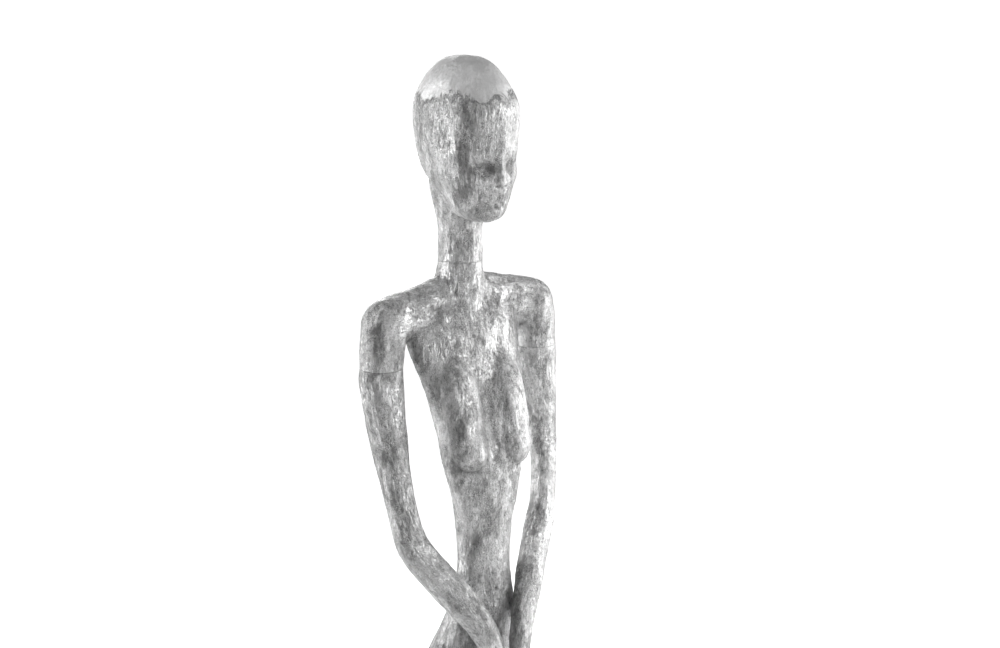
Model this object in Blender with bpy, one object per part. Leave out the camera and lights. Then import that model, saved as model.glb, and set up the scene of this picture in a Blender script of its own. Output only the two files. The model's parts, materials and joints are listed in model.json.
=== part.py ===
"""Full body display figure: hollow moulded shells, joined by metal fittings, on a rod and base plate.

The origin is the middle of the base plate's underside, on the floor. The figure faces -Y, its right
side is at -X, and +Z is up. Lengths are in metres.
"""

import math

import bmesh
import bpy
from mathutils import Matrix, Vector

# Heights of the seams between the shells
NECK_SEAM = 1.556
SHOULDER_SEAM = 1.417
HIP_SEAM = 0.985
WRIST_SEAM = 0.978
THIGH_SEAM = 0.830

# Shells and the clearances between pieces
WALL = 0.005
GAP = 0.0004
PLATE = 0.004
SEAT_LEDGE = 0.0012

# Plan positions of the joint axes, all upright
NECK_AXIS = (0.0, 0.031)
SHOULDER_AXIS = (0.130, 0.034)
WRIST_AXIS = (0.0190, -0.087)
THIGH_CENTRE = (0.0475, -0.003)
HIP_CENTRE_Y = -0.004

# Radii of the round sections at the turning seams
NECK_RADIUS = 0.0315
SHOULDER_RADIUS = 0.0305
WRIST_RADIUS = 0.0135
WRIST_PLATE = 0.0090
HIP_SEAT = (0.058, 0.037)
THIGH_SEAT = (0.0362, 0.0452)

# Base, pads and support rod
BASE_RADIUS = 0.190
BASE_THICK = 0.008
PAD_HEIGHT = 0.004
PAD_RADIUS = 0.014
PAD_CIRCLE = 0.150
ROD_RADIUS = 0.006
ROD_CENTRE = (-0.043, 0.031)
ROD_TOP = 0.372
FLANGE_RADIUS = 0.024
FLANGE_HEIGHT = 0.005
FLANGE_BOSS_RADIUS = 0.0105
FLANGE_BOSS_HEIGHT = 0.022
FLANGE_SCREW_CIRCLE = 0.0165
SCREW_RADIUS = 0.0036
THUMB_STEM = 0.0025
SOCKET_RADIUS = 0.0086
SOCKET_LOW = 0.262
SOCKET_HIGH = 0.380
BASE_TOP = PAD_HEIGHT + BASE_THICK
SOLE = BASE_TOP + GAP

SILVER = (0.62, 0.62, 0.61, 1.0)
STEEL = (0.55, 0.56, 0.57, 1.0)
RUBBER = (0.03, 0.03, 0.03, 1.0)


def clear_scene():
    for obj in list(bpy.data.objects):
        bpy.data.objects.remove(obj, do_unlink=True)


# ---------------------------------------------------------------- materials


def material(name, colour, metallic, roughness):
    made = bpy.data.materials.new(name)
    made.use_nodes = True
    shader = made.node_tree.nodes["Principled BSDF"]
    shader.inputs["Base Color"].default_value = colour
    shader.inputs["Metallic"].default_value = metallic
    shader.inputs["Roughness"].default_value = roughness
    made.diffuse_color = colour
    return made


# ---------------------------------------------------------------- objects and helpers


def new_object(name, mesh):
    obj = bpy.data.objects.new(name, mesh)
    bpy.context.scene.collection.objects.link(obj)
    return obj


def as_helper(obj):
    """Cutters and rough forms are never part of the figure itself."""
    obj.hide_render = True
    obj.display_type = "WIRE"
    return obj


def mesh_from(bm, name):
    mesh = bpy.data.meshes.new(name)
    bm.to_mesh(mesh)
    bm.free()
    return mesh


def evaluated_mesh(obj):
    graph = bpy.context.evaluated_depsgraph_get()
    return bpy.data.meshes.new_from_object(obj.evaluated_get(graph))


def box(name, low, high):
    bm = bmesh.new()
    bmesh.ops.create_cube(bm, size=1.0)
    size = Vector(high) - Vector(low)
    middle = (Vector(high) + Vector(low)) / 2
    place = Matrix.Translation(middle) @ Matrix.Diagonal((*size, 1.0))
    bmesh.ops.transform(bm, matrix=place, verts=bm.verts)
    return as_helper(new_object(name, mesh_from(bm, name)))


def rod(name, centre, radius, low, high, sides=32, depth_radius=None):
    """An upright round or oval bar, used as a piece or as a cutter."""
    bm = bmesh.new()
    bmesh.ops.create_cone(bm, cap_ends=True, segments=sides, radius1=radius, radius2=radius, depth=high - low)
    squash = (depth_radius or radius) / radius
    place = Matrix.Translation((centre[0], centre[1], (low + high) / 2)) @ Matrix.Diagonal((1, squash, 1, 1))
    bmesh.ops.transform(bm, matrix=place, verts=bm.verts)
    return new_object(name, mesh_from(bm, name))


def turned(name, centre, profile, steps=32, squash=1.0):
    """A turned piece. The profile runs from the axis at the bottom, out, up and back, as (radius, height)."""
    bm = bmesh.new()
    rings = []
    for radius, height in profile:
        ring = []
        for i in range(steps if radius else 1):
            angle = 2 * math.pi * i / steps
            ring.append(bm.verts.new((radius * math.cos(angle), squash * radius * math.sin(angle), height)))
        rings.append(ring)
    loop = rings + ([] if len(rings[0]) == 1 else [rings[0]])
    for lower, upper in zip(loop, loop[1:]):
        for i in range(steps):
            j = (i + 1) % steps
            near, far = lower[i % len(lower)], lower[j % len(lower)]
            corners = [near, far, upper[j % len(upper)], upper[i % len(upper)]]
            bm.faces.new(list(dict.fromkeys(corners)))
    bmesh.ops.recalc_face_normals(bm, faces=bm.faces)
    bmesh.ops.translate(bm, vec=(centre[0], centre[1], 0), verts=bm.verts)
    return new_object(name, mesh_from(bm, name))


def boolean(obj, operation, *others):
    for other in others:
        cut = obj.modifiers.new(operation.lower() + "_" + other.name, "BOOLEAN")
        cut.operation = operation
        cut.object = other
        cut.solver = "EXACT"
    return obj


def finish(obj, look, angle=40):
    obj.data.materials.clear()
    obj.data.materials.append(look)
    obj.data.shade_smooth()
    obj.data.set_sharp_from_angle(angle=math.radians(angle))
    return obj


# ---------------------------------------------------------------- lofted body forms


def curve_value(values, t):
    """Catmull-Rom value along a list of numbers, or of vectors, at t from 0 to len - 1."""
    i = min(int(t), len(values) - 2)
    f = t - i
    before = values[max(i - 1, 0)]
    after = values[min(i + 2, len(values) - 1)]
    a, b = values[i], values[i + 1]
    return 0.5 * (2 * a + (b - before) * f + (2 * before - 5 * a + 4 * b - after) * f**2
                  + (3 * a - before - 3 * b + after) * f**3)


def loft(bm, stations, across=(1, 0, 0), level=False, sides=28, steps=4):
    """Adds a closed tube of oval rings to bm.

    Each station is (x, y, z, half width along "across", half depth). A level loft keeps its rings
    horizontal; any other one sets them square to the path.
    """
    centres = [Vector(s[:3]) for s in stations]
    widths = [s[3] for s in stations]
    depths = [s[4] for s in stations]
    count = (len(stations) - 1) * steps
    rings = []
    for k in range(count + 1):
        t = k / steps
        centre = curve_value(centres, t)
        ahead = curve_value(centres, min(t + 0.05, len(stations) - 1))
        behind = curve_value(centres, max(t - 0.05, 0))
        along = Vector((0, 0, 1)) if level else (ahead - behind).normalized()
        side = Vector(across)
        side = (side - along * side.dot(along)).normalized()
        out = along.cross(side)
        wide, deep = curve_value(widths, t), curve_value(depths, t)
        ring = []
        for i in range(sides):
            angle = 2 * math.pi * i / sides
            ring.append(bm.verts.new(centre + side * wide * math.cos(angle) + out * deep * math.sin(angle)))
        rings.append(ring)
    for lower, upper in zip(rings, rings[1:]):
        for i in range(sides):
            j = (i + 1) % sides
            bm.faces.new((lower[i], lower[j], upper[j], upper[i]))
    bm.faces.new(list(reversed(rings[0])))
    bm.faces.new(rings[-1])


def bulge(bm, centre, radii, tilt=0.0):
    """Adds an ellipsoid, tipped about the X axis."""
    turn = Matrix.Rotation(math.radians(tilt), 4, "X")
    place = Matrix.Translation(centre) @ turn @ Matrix.Diagonal((*radii, 1))
    bmesh.ops.create_uvsphere(bm, u_segments=20, v_segments=12, radius=1.0, matrix=place)


def mirrored(side, stations):
    return [(side * s[0], *s[1:]) for s in stations]


TORSO = [
    (0, 0.003, 0.915, 0.062, 0.042), (0, 0.004, 0.935, 0.088, 0.060), (0, 0.001, 0.965, 0.088, 0.061),
    (0, -0.011, 1.010, 0.073, 0.050), (0, -0.014, 1.023, 0.068, 0.046), (0, -0.019, 1.058, 0.055, 0.037),
    (0, -0.023, 1.092, 0.045, 0.034), (0, -0.026, 1.127, 0.0395, 0.032), (0, -0.027, 1.161, 0.0405, 0.032),
    (0, -0.027, 1.196, 0.044, 0.033), (0, -0.028, 1.230, 0.051, 0.035), (0, -0.022, 1.280, 0.063, 0.041),
    (0, -0.015, 1.314, 0.066, 0.041), (0, -0.005, 1.347, 0.069, 0.042), (0, 0.005, 1.378, 0.074, 0.042),
    (0, 0.015, 1.410, 0.082, 0.041), (0, 0.024, 1.445, 0.092, 0.038), (0, 0.030, 1.480, 0.096, 0.034),
    (0, 0.033, 1.510, 0.074, 0.028), (0, 0.034, 1.528, 0.044, 0.026),
]
NECK = [(0, 0.033, 1.490, 0.036, 0.036), (0, 0.032, 1.525, 0.035, 0.034),
        (*NECK_AXIS, 1.545, 0.0322, 0.0322), (*NECK_AXIS, NECK_SEAM, NECK_RADIUS, NECK_RADIUS),
        (*NECK_AXIS, 1.600, 0.0312, 0.0312), (0, 0.0300, 1.622, 0.0350, 0.0360),
        (0, 0.0290, 1.641, 0.0395, 0.0405), (0, 0.0260, 1.658, 0.0440, 0.0460),
        (0, 0.0200, 1.690, 0.0500, 0.0540)]
SHOULDERS = [(-0.149, 0.032, 1.472, 0.018, 0.018), (-0.141, 0.033, 1.474, 0.027, 0.027),
             (-0.126, 0.034, 1.478, 0.0325, 0.033), (-0.098, 0.034, 1.485, 0.030, 0.035),
             (-0.070, 0.034, 1.488, 0.029, 0.037), (-0.036, 0.033, 1.489, 0.030, 0.045),
             (0, 0.033, 1.489, 0.031, 0.046)]
UPPER_ARM = [(0.1225, 0.034, 1.480, 0.0325, 0.0315), (0.1278, 0.034, 1.450, 0.0313, 0.0305),
             (*SHOULDER_AXIS, SHOULDER_SEAM, SHOULDER_RADIUS, SHOULDER_RADIUS),
             (0.1312, 0.032, 1.391, 0.0308, 0.0285), (0.1296, 0.020, 1.324, 0.0266, 0.0230)]
LOWER_ARM = [(0.1258, 0.005, 1.2575, 0.0224, 0.0187), (0.1186, -0.004, 1.206, 0.0214, 0.0175),
             (0.111, -0.009, 1.174, 0.0228, 0.0195), (0.099, -0.016, 1.150, 0.0238, 0.0203),
             (0.078, -0.033, 1.118, 0.0248, 0.0195), (0.0565, -0.053, 1.087, 0.0238, 0.0188),
             (0.0365, -0.071, 1.054, 0.0203, 0.0165), (0.0245, -0.081, 1.023, 0.0172, 0.0152),
             (0.0195, -0.086, 0.998, 0.0142, 0.0140), (*WRIST_AXIS, WRIST_SEAM, WRIST_RADIUS, WRIST_RADIUS),
             (0.0190, -0.087, 0.960, 0.0140, 0.0115)]
LEG = [(0.044, 0.002, 0.960, 0.040, 0.056), (0.048, 0.002, 0.900, 0.0430, 0.054),
       (*THIGH_CENTRE, THIGH_SEAM, 0.0400, 0.049), (0.046, -0.008, 0.740, 0.0365, 0.043),
       (0.0445, -0.011, 0.640, 0.0325, 0.037), (0.0435, -0.012, 0.560, 0.0290, 0.032),
       (0.043, -0.013, 0.520, 0.0290, 0.032), (0.043, -0.008, 0.475, 0.0265, 0.029),
       (0.0435, 0.002, 0.420, 0.0290, 0.0325), (0.0435, 0.009, 0.360, 0.0295, 0.0345),
       (0.043, 0.008, 0.300, 0.0255, 0.029), (0.042, 0.002, 0.230, 0.0200, 0.022),
       (0.041, -0.003, 0.170, 0.0170, 0.0195), (0.041, -0.006, 0.120, 0.0175, 0.021),
       (0.041, -0.008, 0.085, 0.0150, 0.018)]
FOOT = [(0.041, 0.014, 0.078, 0.008, 0.010), (0.041, 0.008, 0.083, 0.0160, 0.018),
        (0.041, -0.012, 0.087, 0.0190, 0.021), (0.0415, -0.036, 0.072, 0.0200, 0.021),
        (0.042, -0.060, 0.048, 0.0240, 0.018), (0.043, -0.086, 0.028, 0.0285, 0.0150),
        (0.043, -0.112, 0.0225, 0.0275, 0.0125), (0.042, -0.136, 0.0195, 0.0185, 0.0095),
        (0.042, -0.146, 0.0180, 0.0080, 0.0060)]
SKULL = [(0, 0.0160, 1.8425, 0.008, 0.011), (0, 0.0160, 1.8368, 0.0285, 0.0400),
         (0, 0.0158, 1.8165, 0.0465, 0.0655), (0, 0.0158, 1.799, 0.0560, 0.0785),
         (0, 0.0158, 1.784, 0.0622, 0.0865), (0, 0.0150, 1.768, 0.0662, 0.088),
         (0, 0.0160, 1.741, 0.0655, 0.0870), (0, 0.0150, 1.720, 0.0632, 0.085),
         (0, 0.0135, 1.703, 0.0600, 0.082), (0, 0.0095, 1.687, 0.0560, 0.0810),
         (0, 0.0030, 1.670, 0.0505, 0.0725), (0, -0.0085, 1.654, 0.0440, 0.0555),
         (0, -0.0115, 1.641, 0.0380, 0.0490), (0, -0.0140, 1.632, 0.0335, 0.0430),
         (0, -0.0180, 1.624, 0.0255, 0.0320), (0, -0.0210, 1.6185, 0.0130, 0.0170)]
PALM = [(0.0190, -0.087, 0.996, 0.0135, 0.0135), (*WRIST_AXIS, WRIST_SEAM, WRIST_RADIUS, WRIST_RADIUS),
        (0.0192, -0.0865, 0.962, 0.0140, 0.0115), (0.0196, -0.085, 0.940, 0.0155, 0.0110),
        (0.0198, -0.083, 0.915, 0.0160, 0.0100), (0.0198, -0.082, 0.898, 0.0152, 0.0085),
        (0.0198, -0.0815, 0.890, 0.0130, 0.0060)]
THUMB = [(0.0130, -0.090, 0.958, 0.0060, 0.0065), (0.0110, -0.094, 0.935, 0.0055, 0.0060),
         (0.0095, -0.0955, 0.912, 0.0048, 0.0052), (0.0090, -0.0950, 0.893, 0.0036, 0.0040),
         (0.0090, -0.0945, 0.888, 0.0018, 0.0020)]
FINGER_OFFSETS = (-0.0114, -0.0038, 0.0038, 0.0114)
FINGER_TIPS = (0.838, 0.824, 0.820, 0.827)
FINGER_RADIUS = 0.0046


def arm_bend_axis(side):
    """The arm is deepest in the plane that its elbow bends in."""
    return (side * 0.77, 0.64, 0)


def shape(name, build, voxel, smooth, triangles, inset=0.0):
    """Fuses the closed tubes that build adds into one smooth skin, and moves it in by inset."""
    bm = bmesh.new()
    build(bm)
    bmesh.ops.recalc_face_normals(bm, faces=bm.faces)
    rough = as_helper(new_object(name + "_rough", mesh_from(bm, name)))
    passes = [(0.0, smooth)] + ([(inset, 3)] if inset else [])
    for depth, rounds in passes:
        if depth:
            push = rough.modifiers.new("push", "DISPLACE")
            push.strength = -depth
            push.mid_level = 0.0
        fuse = rough.modifiers.new("fuse", "REMESH")
        fuse.mode = "VOXEL"
        fuse.voxel_size = voxel
        relax = rough.modifiers.new("relax", "SMOOTH")
        relax.factor = 0.5
        relax.iterations = rounds
    skin = evaluated_mesh(rough)
    dense = new_object(name, skin)
    bpy.data.objects.remove(rough)
    thin = dense.modifiers.new("thin", "DECIMATE")
    skin.calc_loop_triangles()
    thin.ratio = min(1.0, triangles / len(skin.loop_triangles))
    thin.use_collapse_triangulate = True
    made = as_helper(new_object(name + "_form", evaluated_mesh(dense)))
    bpy.data.objects.remove(dense)
    return made


def build_body(bm):
    loft(bm, TORSO, level=True)
    loft(bm, NECK, level=True)
    for side in (-1, 1):
        loft(bm, mirrored(-side, SHOULDERS), across=(0, 1, 0))
        loft(bm, mirrored(side, UPPER_ARM), across=arm_bend_axis(side))
        bulge(bm, (side * 0.037, -0.043, 1.309), (0.0275, 0.0245, 0.037), tilt=-16)
        bulge(bm, (side * 0.037, -0.028, 1.358), (0.0300, 0.0265, 0.076), tilt=-18)
        bulge(bm, (side * 0.043, 0.030, 0.942), (0.043, 0.036, 0.048))
        loft(bm, mirrored(side, LEG), level=True)
        loft(bm, mirrored(side, FOOT))


def build_plain_head(bm):
    loft(bm, SKULL, level=True)
    loft(bm, NECK, level=True)


def build_head(bm):
    build_plain_head(bm)
    bulge(bm, (0, -0.066, 1.696), (0.0090, 0.013, 0.026), tilt=-8)
    bulge(bm, (0, -0.056, 1.658), (0.018, 0.011, 0.009))


def build_arm(bm):
    loft(bm, mirrored(-1, UPPER_ARM + LOWER_ARM), across=arm_bend_axis(-1))


def build_hand(bm):
    loft(bm, mirrored(-1, PALM))
    for offset, tip in zip(FINGER_OFFSETS, FINGER_TIPS):
        x = PALM[4][0] + offset
        finger = [(x, -0.0820, 0.905, 0.0045, 0.0058), (x, -0.0815, 0.885, FINGER_RADIUS, 0.0056),
                  (x * 0.99, -0.079, 0.855, 0.0042, 0.0052),
                  (x * 0.985, -0.076, tip + 0.005, 0.0034, 0.0042),
                  (x * 0.985, -0.0755, tip, 0.0016, 0.0020)]
        loft(bm, mirrored(-1, finger), sides=14)
    loft(bm, mirrored(-1, THUMB), sides=14)


# ---------------------------------------------------------------- seats and fittings at the seams


def seat(name, centre, radius, low, high, depth_radius=None):
    """The recess that a fitting plate drops into."""
    return as_helper(rod(name, centre, radius, low, high, depth_radius=depth_radius))


def socket_plate(name, centre, seam, radius, look, below=True, bore=0.0065, reach=0.016, squash=1.0):
    """A flat plate with a bushed hole that takes a peg. It sits in the seat of the lower shell."""
    side = -1 if below else 1
    face = seam + side * GAP / 2
    back = face + side * PLATE
    deep = face + side * reach
    sleeve = bore + 0.0022
    profile = [(bore, face), (radius, face), (radius, back), (sleeve, back), (sleeve, deep), (bore, deep)]
    return finish(turned(name, centre, profile, steps=24, squash=squash), look)


def peg_plate(name, centre, seam, radius, look, above=True, peg=0.0060, reach=0.013, squash=1.0):
    """The mating plate, with a peg that reaches through the seam."""
    side = 1 if above else -1
    face = seam + side * GAP / 2
    back = face + side * PLATE
    tip = seam - side * reach
    profile = [(0.0, back), (radius, back), (radius, face), (peg, face), (peg, tip + side * 0.0012),
               (peg - 0.0012, tip), (0.0, tip)]
    return finish(turned(name, centre, profile, steps=24, squash=squash), look)


def upright(name, x, y, z):
    """An empty on an upright joint axis."""
    empty = bpy.data.objects.new(name, None)
    empty.empty_display_size = 0.05
    empty.location = (x, y, z)
    bpy.context.scene.collection.objects.link(empty)
    return empty


def hang(empty, *objects):
    """Puts the objects' origins on the empty's axis and parents them to it."""
    place = empty.location.copy()
    for obj in objects:
        obj.data.transform(Matrix.Translation(-place))
        obj.location = (0, 0, 0)
        obj.parent = empty


def mirror_mesh(mesh):
    copy = mesh.copy()
    copy.transform(Matrix.Diagonal((-1, 1, 1, 1)))
    copy.flip_normals()
    return copy


def shell(name, form, look, keep, core=None, cuts=()):
    """One moulded shell: a form cut to its region, hollowed by its core, with its seats and holes cut out."""
    made = new_object(name, form.data.copy())
    boolean(made, "INTERSECT", keep)
    boolean(made, "DIFFERENCE", *([core] if core else []), *cuts)
    made.data = evaluated_mesh(made)
    made.modifiers.clear()
    return finish(made, look, angle=50)


def mirror_of(name, obj, look):
    return finish(new_object(name, mirror_mesh(obj.data)), look, angle=50)


def make_head(form, core, look):
    seam = NECK_SEAM + GAP / 2
    keep = box("head_region", (-0.2, -0.2, seam), (0.2, 0.3, 2.0))
    recess = seat("head_seat", NECK_AXIS, NECK_RADIUS - WALL + SEAT_LEDGE, 1.50, seam + PLATE + GAP)
    return shell("head_shell", form, look, keep, core, [recess])


def make_torso(form, core, look):
    keep = box("torso_region", (-0.3, -0.3, HIP_SEAM + GAP / 2), (0.3, 0.3, NECK_SEAM - GAP / 2))
    cuts = [seat("torso_neck_seat", NECK_AXIS, NECK_RADIUS - WALL + SEAT_LEDGE,
                 NECK_SEAM - GAP / 2 - PLATE - GAP, 1.70),
            seat("torso_hip_seat", (0, HIP_CENTRE_Y), HIP_SEAT[0], 0.90, HIP_SEAM + GAP / 2 + PLATE + GAP,
                 depth_radius=HIP_SEAT[1])]
    for side in (-1, 1):
        low, high = sorted((side * 0.096, side * 0.25))
        seam = SHOULDER_SEAM + GAP / 2
        cuts.append(box("arm_stub_region", (low, -0.2, 1.0), (high, 0.2, seam)))
        centre = (side * SHOULDER_AXIS[0], SHOULDER_AXIS[1])
        recess = seat("torso_arm_seat", centre, SHOULDER_RADIUS - WALL + SEAT_LEDGE, 1.30, seam + PLATE + GAP)
        cuts.append(recess)
    return shell("torso_shell", form, look, keep, core, cuts)


def make_legs(form, core, look):
    seam = HIP_SEAM - GAP / 2
    thigh = THIGH_SEAM + GAP / 2
    keep = box("legs_region", (-0.3, -0.3, SOLE), (0.3, 0.3, seam))
    cuts = [seat("pelvis_seat", (0, HIP_CENTRE_Y), HIP_SEAT[0], seam - PLATE - GAP, 1.10,
                 depth_radius=HIP_SEAT[1]),
            box("left_leg_cut", (0.0, -0.3, -0.1), (0.3, 0.3, thigh)),
            seat("pelvis_thigh_seat", THIGH_CENTRE, THIGH_SEAT[0], 0.70, thigh + PLATE + GAP,
                 depth_radius=THIGH_SEAT[1]),
            seat("calf_bore", ROD_CENTRE, SOCKET_RADIUS + GAP, SOCKET_LOW - 0.05, SOCKET_HIGH + 0.01)]
    return shell("pelvis_and_right_leg", form, look, keep, core, cuts)


def make_left_leg(form, core, look):
    seam = THIGH_SEAM - GAP / 2
    keep = box("left_leg_region", (0.0, -0.3, SOLE), (0.3, 0.3, seam))
    recess = seat("left_leg_seat", THIGH_CENTRE, THIGH_SEAT[0], seam - PLATE - GAP, 1.0,
                  depth_radius=THIGH_SEAT[1])
    return shell("left_leg", form, look, keep, core, [recess])


def make_arm(form, core, look):
    top = SHOULDER_SEAM - GAP / 2
    low = WRIST_SEAM + GAP / 2
    keep = box("arm_region", (-0.3, -0.3, low), (0.0, 0.3, top))
    shoulder = (-SHOULDER_AXIS[0], SHOULDER_AXIS[1])
    wrist = (-WRIST_AXIS[0], WRIST_AXIS[1])
    cuts = [seat("arm_top_seat", shoulder, SHOULDER_RADIUS - WALL + SEAT_LEDGE, top - PLATE - GAP, 1.60),
            seat("arm_wrist_seat", wrist, WRIST_PLATE + GAP, 0.90, low + PLATE + GAP)]
    return shell("right_arm", form, look, keep, core, cuts)


def make_hand(form, look):
    top = WRIST_SEAM - GAP / 2
    keep = box("hand_region", (-0.3, -0.3, 0.70), (0.0, 0.3, top))
    cuts = [seat("hand_seat", (-WRIST_AXIS[0], WRIST_AXIS[1]), WRIST_PLATE + GAP, top - PLATE - GAP, 1.1)]
    return shell("right_hand", form, look, keep, None, cuts)


# ---------------------------------------------------------------- base and support rod


def make_base(steel, rubber):
    edge = 0.0015
    profile = [(0.0, PAD_HEIGHT), (BASE_RADIUS - edge, PAD_HEIGHT), (BASE_RADIUS, PAD_HEIGHT + edge),
               (BASE_RADIUS, BASE_TOP - edge), (BASE_RADIUS - edge, BASE_TOP), (0.0, BASE_TOP)]
    finish(turned("base_plate", (0, 0), profile, steps=64), steel, angle=30)
    for i in range(4):
        angle = math.radians(45 + 90 * i)
        centre = (PAD_CIRCLE * math.cos(angle), PAD_CIRCLE * math.sin(angle))
        top = PAD_HEIGHT - GAP
        pad = [(0.0, 0.0), (PAD_RADIUS - 0.001, 0.0), (PAD_RADIUS, 0.001), (PAD_RADIUS, top), (0.0, top)]
        finish(turned(f"base_pad_{i + 1}", centre, pad, steps=20), rubber)


def make_rod(steel):
    low = BASE_TOP + GAP
    flange_top = low + FLANGE_HEIGHT
    boss_top = low + FLANGE_BOSS_HEIGHT
    bore = ROD_RADIUS + GAP
    profile = [(bore, low), (FLANGE_RADIUS, low), (FLANGE_RADIUS, flange_top - 0.001),
               (FLANGE_RADIUS - 0.001, flange_top), (FLANGE_BOSS_RADIUS, flange_top),
               (FLANGE_BOSS_RADIUS, boss_top), (bore, boss_top)]
    flange = finish(turned("rod_flange", ROD_CENTRE, profile, steps=24), steel)
    for i in range(3):
        angle = math.radians(30 + 120 * i)
        centre = (ROD_CENTRE[0] + FLANGE_SCREW_CIRCLE * math.cos(angle),
                  ROD_CENTRE[1] + FLANGE_SCREW_CIRCLE * math.sin(angle))
        seat_top = flange_top + GAP
        head = [(0.0, seat_top), (SCREW_RADIUS, seat_top), (SCREW_RADIUS, seat_top + 0.0012),
                (SCREW_RADIUS - 0.0012, seat_top + 0.0024), (0.0, seat_top + 0.0026)]
        finish(turned(f"flange_screw_{i + 1}", centre, head, steps=12), steel)
    bar = [(0.0, low), (ROD_RADIUS, low), (ROD_RADIUS, ROD_TOP - 0.0015), (ROD_RADIUS - 0.0015, ROD_TOP),
           (0.0, ROD_TOP)]
    finish(turned("support_rod", ROD_CENTRE, bar, steps=20), steel)
    sleeve = [(bore, SOCKET_LOW), (SOCKET_RADIUS, SOCKET_LOW), (SOCKET_RADIUS, SOCKET_HIGH),
              (bore, SOCKET_HIGH)]
    finish(turned("calf_socket", ROD_CENTRE, sleeve, steps=20), steel)
    make_thumb_screw(flange, low + FLANGE_HEIGHT + 0.0100, steel)


def make_thumb_screw(flange, height, steel):
    """Goes through the boss of the flange from behind and clamps the rod."""
    near = ROD_RADIUS + GAP
    neck = FLANGE_BOSS_RADIUS + 0.004
    profile = [(0.0, near), (THUMB_STEM, near), (THUMB_STEM, neck), (0.0060, neck), (0.0066, neck + 0.001),
               (0.0066, neck + 0.008), (0.0060, neck + 0.009), (0.0, neck + 0.009)]
    hole = [(0.0, -0.001), (THUMB_STEM + GAP, -0.001), (THUMB_STEM + GAP, 0.03), (0.0, 0.03)]
    turn = Matrix.Translation((*ROD_CENTRE, height)) @ Matrix.Rotation(math.radians(-90), 4, "X")
    screw = turned("rod_thumb_screw", (0, 0), profile, steps=16)
    drill = as_helper(turned("thumb_screw_hole", (0, 0), hole, steps=12))
    for obj in (screw, drill):
        obj.data.transform(turn)
    boolean(flange, "DIFFERENCE", drill)
    finish(screw, steel)


# ---------------------------------------------------------------- the whole figure


def main():
    clear_scene()
    silver = material("silver_leaf", SILVER, 0.9, 0.38)
    steel = material("brushed_steel", STEEL, 1.0, 0.35)
    zinc = material("zinc_fitting", STEEL, 1.0, 0.45)
    rubber = material("black_rubber", RUBBER, 0.0, 0.8)

    body = shape("body", build_body, 0.005, 6, 2700)
    body_core = shape("body_core", build_body, 0.005, 6, 1100, inset=WALL)
    head = shape("head", build_head, 0.004, 5, 800)
    head_core = shape("head_core", build_plain_head, 0.004, 5, 280, inset=WALL)
    arm = shape("arm", build_arm, 0.0035, 4, 560)
    arm_core = shape("arm_core", build_arm, 0.0035, 4, 220, inset=WALL)
    hand = shape("hand", build_hand, 0.0016, 3, 560)
    above_feet = box("above_feet", (-0.3, -0.3, 0.16), (0.3, 0.3, 1.9))
    boolean(body_core, "INTERSECT", above_feet)
    body_core.data = evaluated_mesh(body_core)
    body_core.modifiers.clear()

    make_base(steel, rubber)
    make_rod(steel)
    make_legs(body, body_core, silver)
    make_left_leg(body, body_core, silver)
    make_torso(body, body_core, silver)
    head_shell = make_head(head, head_core, silver)
    right_arm = make_arm(arm, arm_core, silver)
    right_hand = make_hand(hand, silver)
    left_arm = mirror_of("left_arm", right_arm, silver)
    left_hand = mirror_of("left_hand", right_hand, silver)

    fit = SEAT_LEDGE - GAP
    hip = (0, HIP_CENTRE_Y)
    squash = (HIP_SEAT[1] - GAP) / (HIP_SEAT[0] - GAP)
    socket_plate("hip_socket_plate", hip, HIP_SEAM, HIP_SEAT[0] - GAP, zinc, squash=squash)
    peg_plate("hip_peg_plate", hip, HIP_SEAM, HIP_SEAT[0] - GAP, zinc, squash=squash)
    squash = (THIGH_SEAT[1] - GAP) / (THIGH_SEAT[0] - GAP)
    socket_plate("thigh_socket_plate", THIGH_CENTRE, THIGH_SEAM, THIGH_SEAT[0] - GAP, zinc, below=False,
                 squash=squash)
    peg_plate("thigh_peg_plate", THIGH_CENTRE, THIGH_SEAM, THIGH_SEAT[0] - GAP, zinc, above=False,
              squash=squash)
    neck_radius = NECK_RADIUS - WALL + fit
    socket_plate("neck_socket_plate", NECK_AXIS, NECK_SEAM, neck_radius, zinc)
    neck_peg = peg_plate("neck_peg_plate", NECK_AXIS, NECK_SEAM, neck_radius, zinc)
    hang(upright("neck_turn_axis", *NECK_AXIS, NECK_SEAM), head_shell, neck_peg)

    sides = (("right", -1, right_arm, right_hand), ("left", 1, left_arm, left_hand))
    for word, side, arm_obj, hand_obj in sides:
        centre = (side * SHOULDER_AXIS[0], SHOULDER_AXIS[1])
        radius = SHOULDER_RADIUS - WALL + fit
        socket_plate(f"{word}_shoulder_plate", centre, SHOULDER_SEAM, radius, zinc, below=False)
        arm_peg = peg_plate(f"{word}_arm_plate", centre, SHOULDER_SEAM, radius, zinc, above=False)
        wrist = (side * WRIST_AXIS[0], WRIST_AXIS[1])
        wrist_plate = socket_plate(f"{word}_wrist_plate", wrist, WRIST_SEAM, WRIST_PLATE, zinc, below=False,
                                   bore=0.0040, reach=0.009)
        hand_peg = peg_plate(f"{word}_hand_plate", wrist, WRIST_SEAM, WRIST_PLATE, zinc, above=False,
                             peg=0.0036, reach=0.007)
        hang(upright(f"{word}_arm_axis", *centre, SHOULDER_SEAM), arm_obj, arm_peg, wrist_plate)
        hang(upright(f"{word}_wrist_axis", *wrist, WRIST_SEAM), hand_obj, hand_peg)


main()
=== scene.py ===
"""Looks of a full body display figure: tarnished silver leaf over a hand-carved, hollow moulded form,
standing on a brushed steel base with a calf rod. Lengths are in metres, +Z up, and the figure faces -Y.
"""

import json
import math

import bmesh
import bpy
import numpy as np
from mathutils import Matrix, Vector, noise


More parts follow.
